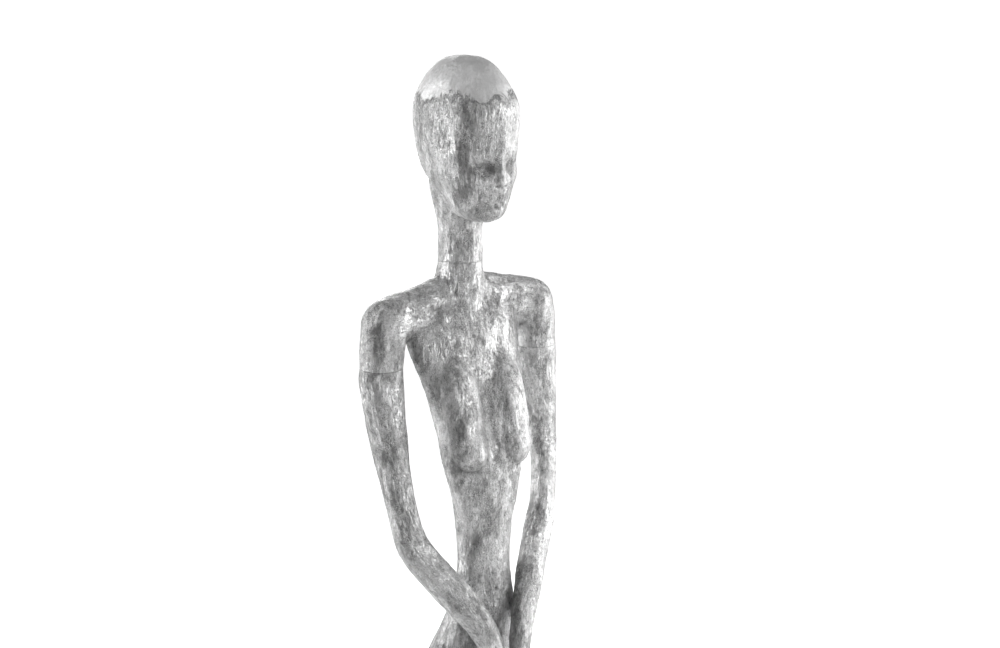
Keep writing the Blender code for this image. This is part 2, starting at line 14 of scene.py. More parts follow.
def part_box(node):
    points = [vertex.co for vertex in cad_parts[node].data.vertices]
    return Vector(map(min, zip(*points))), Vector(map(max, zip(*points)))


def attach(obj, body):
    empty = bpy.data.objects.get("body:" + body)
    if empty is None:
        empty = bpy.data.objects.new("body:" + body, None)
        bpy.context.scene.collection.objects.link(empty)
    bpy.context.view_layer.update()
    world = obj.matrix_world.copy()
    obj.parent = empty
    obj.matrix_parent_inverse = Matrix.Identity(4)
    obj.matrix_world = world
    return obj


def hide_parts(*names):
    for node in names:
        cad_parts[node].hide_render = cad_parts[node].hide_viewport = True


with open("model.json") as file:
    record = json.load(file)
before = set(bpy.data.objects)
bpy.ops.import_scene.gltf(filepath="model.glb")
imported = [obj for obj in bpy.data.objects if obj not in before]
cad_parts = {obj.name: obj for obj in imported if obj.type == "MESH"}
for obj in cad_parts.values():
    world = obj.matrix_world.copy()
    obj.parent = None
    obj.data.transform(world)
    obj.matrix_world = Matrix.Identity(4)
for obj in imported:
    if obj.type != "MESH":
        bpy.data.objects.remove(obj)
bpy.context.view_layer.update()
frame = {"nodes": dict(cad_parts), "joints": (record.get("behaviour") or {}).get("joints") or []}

# ---------------------------------------------------------------- places that come from the frame

JOINTS = {joint["name"]: joint for joint in frame["joints"]}
NECK = Vector(JOINTS["neck_turn"]["pos_m"])
SHOULDER = Vector(JOINTS["left_arm_turn"]["pos_m"])
WRIST = Vector(JOINTS["left_wrist_turn"]["pos_m"])
HALF_GAP = 0.0002
HIP_SEAM = (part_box("torso_shell")[0].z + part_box("pelvis_and_right_leg")[1].z) / 2
HIP_CENTRE = (0, -0.004)
THIGH_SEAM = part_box("left_leg")[1].z + HALF_GAP
THIGH_CENTRE = (0.0475, -0.003)
BASE_LOW, BASE_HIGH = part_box("base_plate")
SOLE = BASE_HIGH.z + 0.0005

# Height of the front edge of the smooth crown, the fall of that edge towards the back, and its depth
CROWN_EDGE, CROWN_FALL, CROWN_BAND = 1.794, 0.1, 0.04
# Half width of the trunk at the arms' seams: an arm lies wholly outside it
ARM_SIDE = 0.096
# Where the leaf is laid across the shoulders: it turns between these heights and these half widths
LAY_HEIGHTS, LAY_WIDTHS = (1.44, 1.495), (0.03, 0.06)
# Depth of carving that counts as a full recess
FULL_RECESS = 0.0035
# Rounding on the edges of the plate and the rod
EDGE = 0.0014
# What the soft boxes are aimed at
CHEST = (0, 0, 1.25)
# Depth of the worn rim at a seam, the reach of the dark line on it and of the plain band beside it
RIM, SEAM_LINE, SEAM_REACH = 0.00022, (0.0004, 0.0024), 0.012

# Radii of the turning seams, and the recesses behind each seam: half width, half depth, reach
NECK_RADIUS, SHOULDER_RADIUS, WRIST_RADIUS = 0.0315, 0.0305, 0.0135
NECK_POCKET = (0.0277, 0.0277, 0.02)
ARM_POCKET = (0.0267, 0.0267, 0.02)
WRIST_POCKET = (0.0094, 0.0094, 0.0115)
HIP_POCKET = (0.058, 0.037, 0.02)
THIGH_POCKET = (0.0362, 0.0452, 0.02)

# Grid of the fused forms. A finer grid holds finer carving
BODY_GRID, HEAD_GRID, ARM_GRID, HAND_GRID = 0.0026, 0.0019, 0.002, 0.0011


# ---------------------------------------------------------------- mesh helpers


def new_object(name, mesh):
    made = bpy.data.objects.new(name, mesh)
    bpy.context.scene.collection.objects.link(made)
    return made


def mesh_from(bm, name):
    mesh = bpy.data.meshes.new(name)
    bm.to_mesh(mesh)
    bm.free()
    return mesh


def evaluated_mesh(obj):
    graph = bpy.context.evaluated_depsgraph_get()
    return bpy.data.meshes.new_from_object(obj.evaluated_get(graph))


def points_of(mesh):
    flat = np.empty(len(mesh.vertices) * 3)
    mesh.vertices.foreach_get("co", flat)
    return flat.reshape(-1, 3)


def normals_of(mesh):
    flat = np.empty(len(mesh.vertices) * 3)
    mesh.vertex_normals.foreach_get("vector", flat)
    return flat.reshape(-1, 3)


def set_points(mesh, points):
    mesh.vertices.foreach_set("co", np.asarray(points, float).ravel())
    mesh.update()


def curve_value(values, t):
    """Catmull-Rom value along a list of numbers, or of vectors, at t from 0 to len - 1."""
    i = min(int(t), len(values) - 2)
    f = t - i
    before = values[max(i - 1, 0)]
    after = values[min(i + 2, len(values) - 1)]
    a, b = values[i], values[i + 1]
    return 0.5 * (2 * a + (b - before) * f + (2 * before - 5 * a + 4 * b - after) * f**2
                  + (3 * a - before - 3 * b + after) * f**3)


def loft(bm, stations, across=(1, 0, 0), level=False, sides=48):
    """Adds a closed tube of oval rings. A station is (x, y, z, half width along "across", half depth)."""
    steps = 6
    centres = [Vector(s[:3]) for s in stations]
    widths = [s[3] for s in stations]
    depths = [s[4] for s in stations]
    rings = []
    for k in range((len(stations) - 1) * steps + 1):
        t = k / steps
        centre = curve_value(centres, t)
        ahead = curve_value(centres, min(t + 0.05, len(stations) - 1))
        behind = curve_value(centres, max(t - 0.05, 0))
        along = Vector((0, 0, 1)) if level else (ahead - behind).normalized()
        side = Vector(across)
        side = (side - along * side.dot(along)).normalized()
        out = along.cross(side)
        wide, deep = curve_value(widths, t), curve_value(depths, t)
        angles = [2 * math.pi * i / sides for i in range(sides)]
        rings.append([bm.verts.new(centre + side * wide * math.cos(a) + out * deep * math.sin(a))
                      for a in angles])
    for lower, upper in zip(rings, rings[1:]):
        for i in range(sides):
            j = (i + 1) % sides
            bm.faces.new((lower[i], lower[j], upper[j], upper[i]))
    bm.faces.new(list(reversed(rings[0])))
    bm.faces.new(rings[-1])


def bulge(bm, centre, radii, tilt=0.0):
    """Adds an ellipsoid, tipped about the X axis."""
    turn = Matrix.Rotation(math.radians(tilt), 4, "X")
    place = Matrix.Translation(centre) @ turn @ Matrix.Diagonal((*radii, 1))
    bmesh.ops.create_uvsphere(bm, u_segments=32, v_segments=20, radius=1.0, matrix=place)


def mirrored(side, stations):
    return [(side * s[0], *s[1:]) for s in stations]


def fused(name, build, grid, rounds):
    """Fuses the closed forms that build adds into one skin with an even grid of faces."""
    bm = bmesh.new()
    build(bm)
    bmesh.ops.recalc_face_normals(bm, faces=bm.faces)
    rough = new_object(name + "_rough", mesh_from(bm, name))
    fuse = rough.modifiers.new("fuse", "REMESH")
    fuse.mode = "VOXEL"
    fuse.voxel_size = grid
    relax = rough.modifiers.new("relax", "SMOOTH")
    relax.factor = 0.5
    relax.iterations = rounds
    mesh = evaluated_mesh(rough)
    mesh.name = name
    bpy.data.objects.remove(rough)
    return mesh


# ---------------------------------------------------------------- the figure's forms

TORSO = [
    (0, 0.003, 0.915, 0.062, 0.042), (0, 0.004, 0.935, 0.088, 0.06), (0, 0.001, 0.965, 0.088, 0.061),
    (0, -0.011, 1.01, 0.073, 0.05), (0, -0.014, 1.023, 0.068, 0.046), (0, -0.019, 1.058, 0.055, 0.037),
    (0, -0.023, 1.092, 0.045, 0.034), (0, -0.026, 1.127, 0.0395, 0.032), (0, -0.027, 1.161, 0.0405, 0.032),
    (0, -0.027, 1.196, 0.044, 0.033), (0, -0.028, 1.23, 0.051, 0.035), (0, -0.022, 1.28, 0.063, 0.041),
    (0, -0.015, 1.314, 0.066, 0.041), (0, -0.005, 1.347, 0.069, 0.042), (0, 0.005, 1.378, 0.074, 0.042),
    (0, 0.015, 1.41, 0.082, 0.041), (0, 0.024, 1.445, 0.092, 0.038), (0, 0.03, 1.48, 0.096, 0.034),
    (0, 0.033, 1.51, 0.074, 0.028), (0, 0.034, 1.528, 0.044, 0.026),
]
NECK_COLUMN = [(0, 0.033, 1.49, 0.036, 0.036), (0, 0.032, 1.525, 0.035, 0.034),
               (0, NECK.y, 1.545, 0.0322, 0.0322), (0, NECK.y, NECK.z, NECK_RADIUS, NECK_RADIUS),
               (0, NECK.y, 1.6, 0.0312, 0.0312), (0, 0.03, 1.622, 0.035, 0.036),
               (0, 0.029, 1.641, 0.0395, 0.0405), (0, 0.026, 1.658, 0.044, 0.046),
               (0, 0.02, 1.69, 0.05, 0.054)]
SHOULDER_BAR = [(-0.149, 0.032, 1.472, 0.018, 0.018), (-0.141, 0.033, 1.474, 0.027, 0.027),
                (-0.126, 0.034, 1.478, 0.0325, 0.033), (-0.098, 0.034, 1.485, 0.03, 0.035),
                (-0.07, 0.034, 1.488, 0.029, 0.037), (-0.036, 0.033, 1.489, 0.03, 0.045),
                (0, 0.033, 1.489, 0.031, 0.046)]
UPPER_ARM = [(0.1225, 0.034, 1.48, 0.0325, 0.0315), (0.1278, 0.034, 1.45, 0.0313, 0.0305),
             (SHOULDER.x, SHOULDER.y, SHOULDER.z, SHOULDER_RADIUS, SHOULDER_RADIUS),
             (0.1312, 0.032, 1.391, 0.0308, 0.0285), (0.1296, 0.02, 1.324, 0.0266, 0.023)]
LOWER_ARM = [(0.1258, 0.005, 1.2575, 0.0224, 0.0187), (0.1186, -0.004, 1.206, 0.0214, 0.0175),
             (0.111, -0.009, 1.174, 0.0228, 0.0195), (0.099, -0.016, 1.15, 0.0238, 0.0203),
             (0.078, -0.033, 1.118, 0.0248, 0.0195), (0.0565, -0.053, 1.087, 0.0238, 0.0188),
             (0.0365, -0.071, 1.054, 0.0203, 0.0165), (0.0245, -0.081, 1.023, 0.0172, 0.0152),
             (0.0195, -0.086, 0.998, 0.0142, 0.014),
             (WRIST.x, WRIST.y, WRIST.z, WRIST_RADIUS, WRIST_RADIUS),
             (0.019, -0.087, 0.96, 0.014, 0.0115)]
LEG = [(0.044, 0.002, 0.96, 0.04, 0.056), (0.048, 0.002, 0.9, 0.043, 0.054),
       (0.0475, -0.003, 0.83, 0.04, 0.049), (0.046, -0.008, 0.74, 0.0365, 0.043),
       (0.0445, -0.011, 0.64, 0.0325, 0.037), (0.0435, -0.012, 0.56, 0.029, 0.032),
       (0.043, -0.013, 0.52, 0.029, 0.032), (0.043, -0.008, 0.475, 0.0265, 0.029),
       (0.0435, 0.002, 0.42, 0.029, 0.0325), (0.0435, 0.009, 0.36, 0.0295, 0.0345),
       (0.043, 0.008, 0.3, 0.0255, 0.029), (0.042, 0.002, 0.23, 0.02, 0.022),
       (0.041, -0.003, 0.17, 0.017, 0.0195), (0.041, -0.006, 0.12, 0.0175, 0.021),
       (0.041, -0.008, 0.085, 0.015, 0.018)]
FOOT = [(0.041, 0.014, 0.078, 0.008, 0.01), (0.041, 0.008, 0.083, 0.016, 0.018),
        (0.041, -0.012, 0.087, 0.019, 0.021), (0.0415, -0.036, 0.072, 0.02, 0.021),
        (0.042, -0.06, 0.048, 0.024, 0.018), (0.043, -0.086, 0.028, 0.0285, 0.015),
        (0.043, -0.108, 0.0225, 0.027, 0.0115)]
TOES = [(0.025, 0.0088, 0.146), (0.036, 0.0062, 0.1465), (0.0465, 0.0058, 0.1435),
        (0.056, 0.0054, 0.138), (0.0645, 0.0052, 0.13)]
SKULL = [(0, 0.016, 1.8425, 0.008, 0.011), (0, 0.016, 1.8368, 0.0285, 0.04),
         (0, 0.0158, 1.8165, 0.0465, 0.0655), (0, 0.0158, 1.799, 0.056, 0.0785),
         (0, 0.0158, 1.784, 0.0622, 0.0865), (0, 0.015, 1.768, 0.0662, 0.088),
         (0, 0.016, 1.741, 0.0655, 0.087), (0, 0.015, 1.72, 0.0632, 0.085),
         (0, 0.0135, 1.703, 0.06, 0.082), (0, 0.0095, 1.687, 0.056, 0.081),
         (0, 0.003, 1.67, 0.0505, 0.0725), (0, -0.0085, 1.654, 0.044, 0.0555),
         (0, -0.0115, 1.641, 0.038, 0.049), (0, -0.014, 1.632, 0.0335, 0.043),
         (0, -0.018, 1.624, 0.0255, 0.032), (0, -0.021, 1.6185, 0.013, 0.017)]
PALM = [(0.019, -0.087, 0.996, 0.0135, 0.0135), (WRIST.x, WRIST.y, WRIST.z, WRIST_RADIUS, WRIST_RADIUS),
        (0.0192, -0.0865, 0.962, 0.014, 0.0115), (0.0196, -0.085, 0.94, 0.0155, 0.011),
        (0.0198, -0.083, 0.915, 0.016, 0.01), (0.0198, -0.082, 0.898, 0.0152, 0.0085),
        (0.0198, -0.0815, 0.89, 0.013, 0.006)]
FINGER_OFFSETS = (-0.0114, -0.0038, 0.0038, 0.0114)
FINGER_TIPS = (0.838, 0.824, 0.82, 0.827)


def arm_bend_axis(side):
    """The arm is deepest in the plane that its elbow bends in."""
    return (side * 0.77, 0.64, 0)


def build_body(bm):
    loft(bm, TORSO, level=True)
    loft(bm, NECK_COLUMN, level=True)
    for side in (-1, 1):
        loft(bm, mirrored(-side, SHOULDER_BAR), across=(0, 1, 0))
        loft(bm, mirrored(side, UPPER_ARM), across=arm_bend_axis(side))
        bulge(bm, (side * 0.037, -0.043, 1.309), (0.0275, 0.0245, 0.037), tilt=-16)
        bulge(bm, (side * 0.037, -0.028, 1.358), (0.03, 0.0265, 0.076), tilt=-18)
        bulge(bm, (side * 0.043, 0.03, 0.942), (0.043, 0.036, 0.048))


def build_legs(bm):
    loft(bm, TORSO[:8], level=True)
    for side in (-1, 1):
        bulge(bm, (side * 0.043, 0.03, 0.942), (0.043, 0.036, 0.048))
        loft(bm, mirrored(side, LEG), level=True)
        loft(bm, mirrored(side, FOOT))
        for x, radius, reach in TOES:
            root = (x, -0.104, 0.02, radius, radius * 1.15)
            toe = [root, (x, -reach + 0.016, 0.0185, radius * 1.05, radius * 0.95),
                   (x, -reach + 0.006, 0.018, radius * 1.05, radius * 0.85),
                   (x, -reach, 0.0172, 0.002, 0.002)]
            loft(bm, mirrored(side, toe), sides=20)


def build_head(bm):
    loft(bm, SKULL, level=True)
    loft(bm, NECK_COLUMN, level=True)


def build_right_arm(bm):
    loft(bm, mirrored(-1, UPPER_ARM + LOWER_ARM), across=arm_bend_axis(-1))


def build_right_hand(bm):
    loft(bm, mirrored(-1, PALM))
    for offset, tip in zip(FINGER_OFFSETS, FINGER_TIPS):
        x = PALM[4][0] + offset
        finger = [(x, -0.082, 0.905, 0.0043, 0.0058), (x, -0.0815, 0.885, 0.0043, 0.0056),
                  (x * 0.995, -0.08, 0.868, 0.0039, 0.0049), (x * 0.99, -0.0785, 0.855, 0.0041, 0.0051),
                  (x * 0.985, -0.0765, tip + 0.01, 0.0036, 0.0044),
                  (x * 0.985, -0.0755, tip + 0.003, 0.0028, 0.0034),
                  (x * 0.985, -0.0752, tip, 0.0012, 0.0014)]
        loft(bm, mirrored(-1, finger), sides=20)
    thumb = [(0.013, -0.09, 0.958, 0.0062, 0.0068), (0.0112, -0.094, 0.937, 0.0057, 0.0062),
             (0.01, -0.0955, 0.92, 0.0049, 0.0053), (0.0093, -0.0955, 0.904, 0.0046, 0.0048),
             (0.009, -0.095, 0.893, 0.0034, 0.0038), (0.009, -0.0945, 0.888, 0.0014, 0.0016)]
    loft(bm, mirrored(-1, thumb), sides=20)


# ---------------------------------------------------------------- carving the features one by one


def press(points, centre, radii, push):
    """Moves the points in an oval region by push, most at its middle, and its mirror image off the middle."""
    for side in ((1, -1) if centre[0] else (1,)):
        middle = np.array(centre) * (side, 1, 1)
        move = np.array(push) * (side, 1, 1)
        reach = np.linalg.norm((points - middle) / radii, axis=1)
        share = np.clip(1 - reach**2, 0, 1) ** 2
        points += share[:, None] * move
    return points


def crease(points, start, end, width, push):
    """A long narrow hollow or ridge from start to end, and its mirror image unless it crosses the middle."""
    for side in ((1, -1) if start[0] + end[0] else (1,)):
        a, b = np.array(start) * (side, 1, 1), np.array(end) * (side, 1, 1)
        along = b - a
        t = np.clip((points - a) @ along / (along @ along), 0, 1)
        away = np.linalg.norm(points - (a + t[:, None] * along), axis=1) / width
        ends = np.sin(np.pi * np.clip(t, 0.02, 0.98)) ** 0.5
        share = np.clip(1 - away**2, 0, 1) ** 2 * ends
        points += share[:, None] * np.array(push) * (side, 1, 1)
    return points


def carve_face(p):
    # eye hollows with a slight swell in them, and brows
    press(p, (0.0225, -0.062, 1.696), (0.019, 0.03, 0.018), (0, 0.006, 0))
    press(p, (0.015, -0.068, 1.7), (0.0085, 0.02, 0.011), (0, 0.0026, 0))
    press(p, (0.025, -0.06, 1.694), (0.012, 0.03, 0.007), (0, -0.0012, 0))
    crease(p, (0.012, -0.072, 1.715), (0.046, -0.046, 1.722), 0.01, (0, -0.0018, 0.0004))
    # nose ridge, tip and nostrils
    crease(p, (0, -0.072, 1.722), (0, -0.072, 1.682), 0.0095, (0, -0.0052, 0))
    press(p, (0, -0.07, 1.68), (0.0125, 0.022, 0.0085), (0, -0.0038, 0))
    press(p, (0.0075, -0.069, 1.674), (0.004, 0.014, 0.0035), (0, 0.0012, 0))
    # line of the mouth, lips, the hollow under them, and the chin
    crease(p, (-0.015, -0.06, 1.6585), (0.015, -0.06, 1.6585), 0.0045, (0, 0.0016, 0))
    crease(p, (-0.013, -0.062, 1.6635), (0.013, -0.062, 1.6635), 0.005, (0, -0.0013, 0))
    crease(p, (-0.011, -0.06, 1.653), (0.011, -0.06, 1.653), 0.0055, (0, -0.0016, 0))
    press(p, (0, -0.055, 1.644), (0.014, 0.02, 0.006), (0, 0.0016, 0))
    press(p, (0, -0.05, 1.634), (0.016, 0.022, 0.011), (0, -0.003, -0.0004))
    # cheeks, hollows of the jaw, temples and forehead
    press(p, (0.036, -0.04, 1.683), (0.018, 0.024, 0.016), (0.0014, -0.0018, 0))
    press(p, (0.038, -0.028, 1.655), (0.018, 0.03, 0.018), (-0.003, 0.0016, 0))
    press(p, (0.056, -0.015, 1.735), (0.018, 0.03, 0.022), (-0.002, 0, 0))
    press(p, (0, -0.065, 1.76), (0.045, 0.03, 0.03), (0, -0.0014, 0))
    return p


def carve_neck(p):
    crease(p, (0.027, 0.02, 1.64), (0.008, -0.002, 1.56), 0.008, (0.0003, -0.0013, 0))
    press(p, (0, -0.002, 1.58), (0.01, 0.014, 0.02), (0, -0.0012, 0))
    crease(p, (0, 0.065, 1.64), (0, 0.066, 1.54), 0.012, (0, -0.0012, 0))
    return p


def carve_torso(p):
    # collarbones, the notch between them, and the hollows above and below
    crease(p, (0.012, -0.004, 1.517), (0.112, 0.004, 1.508), 0.0095, (0, -0.0024, 0.0006))
    crease(p, (0.03, 0.008, 1.527), (0.095, 0.018, 1.522), 0.011, (0, 0.0008, -0.002))
    crease(p, (0.02, 0.0, 1.497), (0.095, 0.004, 1.49), 0.012, (0, 0.002, 0))
    press(p, (0, 0.0, 1.515), (0.014, 0.02, 0.014), (0, 0.0024, 0))
    # breastbone groove and breasts
    crease(p, (0, -0.018, 1.47), (0, -0.062, 1.29), 0.011, (0, 0.0026, 0))
    press(p, (0.036, -0.07, 1.296), (0.024, 0.024, 0.028), (0, -0.003, -0.003))
    crease(p, (0.012, -0.06, 1.268), (0.056, -0.046, 1.276), 0.009, (0, 0.0026, 0.001))
    crease(p, (0.022, -0.034, 1.42), (0.034, -0.078, 1.285), 0.008, (0, -0.0022, 0))
    crease(p, (0.06, -0.024, 1.425), (0.044, -0.066, 1.3), 0.008, (0.0006, -0.0026, 0))
    press(p, (0.074, -0.02, 1.365), (0.024, 0.03, 0.065), (-0.003, 0.0016, 0))
    # ribs, arch of the rib cage, belly and navel
    for k in range(4):
        z = 1.262 - 0.017 * k
        crease(p, (0.06 - 0.004 * k, -0.03, z), (0.026, -0.06, z - 0.012), 0.006, (0, -0.0009, 0))
    crease(p, (0.006, -0.064, 1.262), (0.04, -0.05, 1.205), 0.01, (0, -0.0018, 0))
    crease(p, (0, -0.064, 1.25), (0, -0.062, 1.12), 0.0075, (0, 0.0014, 0))
    press(p, (0, -0.062, 1.098), (0.0045, 0.012, 0.0065), (0, 0.0042, 0))
    press(p, (0, -0.062, 1.06), (0.034, 0.02, 0.034), (0, -0.0026, 0))
    press(p, (0.056, -0.04, 1.03), (0.018, 0.022, 0.016), (0.0006, -0.0026, 0))
    crease(p, (0.058, -0.046, 1.012), (0.026, -0.06, 0.955), 0.009, (0, 0.0022, 0))
    # back: spine, shoulder blades, small of the back
    crease(p, (0, 0.064, 1.52), (0, 0.01, 1.08), 0.011, (0, -0.0034, 0))
    press(p, (0.052, 0.06, 1.44), (0.026, 0.02, 0.04), (0, 0.0036, 0))
    crease(p, (0.026, 0.062, 1.47), (0.04, 0.05, 1.385), 0.01, (0, -0.002, 0))
    crease(p, (0.028, 0.066, 1.502), (0.108, 0.066, 1.492), 0.011, (0, 0.0022, 0))
    press(p, (0.02, 0.022, 1.04), (0.007, 0.016, 0.008), (0, -0.002, 0))
    # fronts and backs of the armpits, shoulder caps
    crease(p, (0.074, 0.002, 1.4), (0.108, 0.01, 1.448), 0.012, (0, -0.0024, 0))
    press(p, (0.15, 0.034, 1.47), (0.028, 0.03, 0.03), (0.0018, 0, 0))
    crease(p, (0.14, 0.002, 1.48), (0.118, 0.006, 1.42), 0.009, (0, 0.0016, 0))
    return p


def carve_legs(p):
    press(p, (0, 0.07, 0.95), (0.015, 0.03, 0.05), (0, -0.004, 0))
    crease(p, (0.012, 0.06, 0.902), (0.078, 0.04, 0.912), 0.01, (0, -0.003, 0))
    press(p, (0.088, 0.03, 0.945), (0.018, 0.03, 0.03), (-0.003, 0, 0))
    # knees: cap, the dimples beside it and the hollow behind
    press(p, (0.043, -0.046, 0.524), (0.017, 0.018, 0.02), (0, -0.004, 0))
    press(p, (0.062, -0.036, 0.522), (0.008, 0.014, 0.02), (-0.0018, 0.0014, 0))
    press(p, (0.024, -0.036, 0.522), (0.008, 0.014, 0.02), (0.0018, 0.0014, 0))
    crease(p, (0.03, -0.04, 0.5), (0.056, -0.04, 0.5), 0.007, (0, 0.0016, 0))
    press(p, (0.043, 0.022, 0.5), (0.014, 0.016, 0.034), (0, -0.003, 0))
    crease(p, (0.056, 0.018, 0.545), (0.05, 0.026, 0.44), 0.008, (0, 0.0015, 0))
    # shins, calves and the tendons above the heels
    crease(p, (0.042, -0.03, 0.48), (0.04, -0.022, 0.16), 0.008, (0, -0.0018, 0))
    press(p, (0.034, 0.034, 0.375), (0.016, 0.02, 0.055), (0, 0.0022, 0))
    press(p, (0.052, 0.032, 0.385), (0.014, 0.02, 0.05), (0, 0.0016, 0))
    crease(p, (0.041, 0.018, 0.23), (0.041, 0.016, 0.1), 0.007, (0, 0.0016, 0))
    press(p, (0.05, 0.012, 0.15), (0.007, 0.014, 0.045), (-0.0016, 0, 0))
    press(p, (0.032, 0.012, 0.15), (0.007, 0.014, 0.045), (0.0016, 0, 0))
    # ankle bones, instep, arch and toe nails
    press(p, (0.059, -0.004, 0.112), (0.009, 0.01, 0.011), (0.0032, 0, 0))
    press(p, (0.023, -0.006, 0.118), (0.009, 0.01, 0.011), (-0.0032, 0, 0))
    press(p, (0.024, -0.046, 0.056), (0.01, 0.024, 0.02), (0.004, 0, 0.001))
    for x, radius, reach in TOES:
        press(p, (x, -reach + 0.004, 0.0225), (radius * 0.72, 0.005, 0.006), (0, 0, -0.0008))
        crease(p, (x, -0.072, 0.043), (x * 0.94 + 0.0025, -0.106, 0.033), 0.0045, (0, 0, 0.0009))
    return p


def carve_arm(p):
    """The right arm: elbow point, muscles and the bones at the wrist."""
    press(p, (-0.108, 0.008, 1.15), (0.013, 0.016, 0.016), (-0.0016, 0.0034, 0))
    press(p, (-0.128, 0.0, 1.3), (0.014, 0.018, 0.05), (0, -0.0022, 0))
    crease(p, (-0.157, 0.03, 1.4), (-0.15, 0.012, 1.3), 0.01, (0.0016, 0, 0))
    press(p, (-0.136, 0.046, 1.34), (0.016, 0.014, 0.05), (0, 0.0018, 0))
    press(p, (-0.088, -0.04, 1.143), (0.01, 0.012, 0.012), (-0.001, 0.0022, 0.0008))
    crease(p, (-0.092, -0.006, 1.122), (-0.036, -0.056, 1.036), 0.007, (-0.0008, 0.0012, -0.001))
    press(p, (-0.034, -0.086, 0.992), (0.007, 0.009, 0.009), (-0.0022, 0, 0))
    crease(p, (-0.016, -0.098, 1.02), (-0.017, -0.101, 0.984), 0.004, (0, -0.001, 0))
    return p


def carve_hand(p):
    """The right hand: knuckles, tendons, finger joints and nails, on the front."""
    for offset, tip in zip(FINGER_OFFSETS, FINGER_TIPS):
        x = -(PALM[4][0] + offset)
        press(p, (x, -0.089, 0.897), (0.0048, 0.008, 0.006), (0, -0.0014, 0))
        crease(p, (x * 0.96, -0.0965, 0.948), (x, -0.092, 0.904), 0.0026, (0, -0.0007, 0))
        press(p, (x, -0.084, 0.864), (0.0042, 0.007, 0.0046), (0, -0.0007, 0))
        press(p, (x, -0.081, (tip + 0.864) / 2 + 0.002), (0.004, 0.006, 0.0036), (0, -0.0006, 0))
        press(p, (x * 0.985, -0.08, tip + 0.006), (0.0026, 0.004, 0.0055), (0, 0.0008, 0))
    press(p, (-0.0092, -0.1, 0.897), (0.003, 0.004, 0.005), (0, 0.0008, 0))
    crease(p, (-0.03, -0.074, 0.95), (-0.028, -0.073, 0.905), 0.006, (0, -0.0009, 0))
    return p


def relief(mesh, grain, depth):
    """Broad knife planes, gouge strokes drawn out along the grain, and the crumple of the leaf."""
    points, normals = points_of(mesh), normals_of(mesh)
    height = np.empty(len(points))
    for i, (x, y, z) in enumerate(grain):
        planes = noise.noise(Vector((x * 24, y * 24, z * 8 + 3.1)))
        facets = noise.voronoi(Vector((x * 38 + 7.0, y * 38, z * 16)))[0][0]
        warp = 0.6 * noise.noise(Vector((x * 60, y * 60, z * 60 + 5.2)))
        ridges = 1 - abs(2 * noise.noise(Vector((x * 85 + warp, y * 85, z * 26 + 8.3 + warp))))
        crumple = 1 - abs(2 * noise.noise(Vector((x * 210, y * 210 + warp * 3, z * 110 + 1.7))))
        pits = noise.noise(Vector((x * 260, y * 260, z * 210)))
        height[i] = (0.0012 * planes - 0.0022 * min(facets, 0.6) + 0.00065 * ridges + 0.00038 * crumple
                     + 0.00018 * pits)
    height -= height.mean()
    set_points(mesh, points + normals * (height * depth)[:, None])


# ---------------------------------------------------------------- marks that the finish reads


def store(mesh, name, values):
    """Keeps one number, or one vector, for each point, for the finish to read."""
    kind = "FLOAT_VECTOR" if values.ndim == 2 else "FLOAT"
    layer = mesh.attributes.new(name, kind, "POINT")
    layer.data.foreach_set("vector" if values.ndim == 2 else "value", values.astype(np.float32).ravel())


def smooth_step(low, high, values):
    t = np.clip((values - low) / (high - low), 0, 1)
    return t * t * (3 - 2 * t)


def arm_grain(points, side):
    """Places round and along the arm, so that the tool marks follow it through the elbow."""
    stations = mirrored(side, UPPER_ARM + LOWER_ARM + PALM[3:6])
    count = 160
    steps = [k * (len(stations) - 1) / count for k in range(count + 1)]
    line = np.array([curve_value([Vector(s[:3]) for s in stations], t) for t in steps])
    lengths = np.concatenate([[0], np.cumsum(np.linalg.norm(np.diff(line, axis=0), axis=1))])
    nearest = np.argmin(np.linalg.norm(points[:, None, :] - line[None, :, :], axis=2), axis=1)
    along = np.gradient(line, axis=0)
    along /= np.linalg.norm(along, axis=1)[:, None]
    across = np.array(arm_bend_axis(side)) - along * (along @ np.array(arm_bend_axis(side)))[:, None]
    across /= np.linalg.norm(across, axis=1)[:, None]
    out = np.cross(along, across)
    offset = points - line[nearest]
    place = lengths[nearest] + (offset * along[nearest]).sum(axis=1)
    return np.stack([(offset * across[nearest]).sum(axis=1) + side * 0.7,
                     (offset * out[nearest]).sum(axis=1), -place], axis=1)


def everywhere(points):
    return np.ones(len(points), bool)


def right_arm_side(points):
    return points[:, 0] < -ARM_SIDE


def left_arm_side(points):
    return points[:, 0] > ARM_SIDE


def left_leg_side(points):
    return points[:, 0] > 0


def finish_form(mesh, carve, grain_of, seams, depth=1.0, crown=False):
    """Carves a fused form, cuts the tool marks into it, and stores the marks that the finish reads.

    A seam is (height, side that stays, reach, centre, pocket). See open_seam and close_seam.
    """
    before, normals = points_of(mesh), normals_of(mesh)
    carved = carve(before.copy())
    # depth of carving at each point, which the silver look turns into painted shade in the hollows
    store(mesh, "recess", np.clip(((before - carved) * normals).sum(axis=1) / FULL_RECESS, -1, 1))
    set_points(mesh, carved)
    grain = grain_of(carved)
    store(mesh, "grain", grain)
    across = smooth_step(*LAY_HEIGHTS, carved[:, 2]) * smooth_step(*LAY_WIDTHS, np.abs(carved[:, 0]))
    store(mesh, "lay", across * (carved[:, 2] < NECK.z))
    edge = CROWN_EDGE - CROWN_FALL * np.clip(carved[:, 1] + 0.05, 0, 1)
    above = np.clip(0.5 + (carved[:, 2] - edge) / CROWN_BAND, 0, 1)
    store(mesh, "crown", above if crown else np.zeros(len(carved)))
    away = np.full(len(carved), 1.0)
    for height, _, reach_of, _, _ in seams:
        away = np.minimum(away, np.where(reach_of(carved), np.abs(carved[:, 2] - height), 1.0))
    store(mesh, "seam", 1 - smooth_step(*SEAM_LINE, away))
    relief(mesh, grain, depth * (0.12 + 0.88 * smooth_step(0.0, SEAM_REACH, away)))


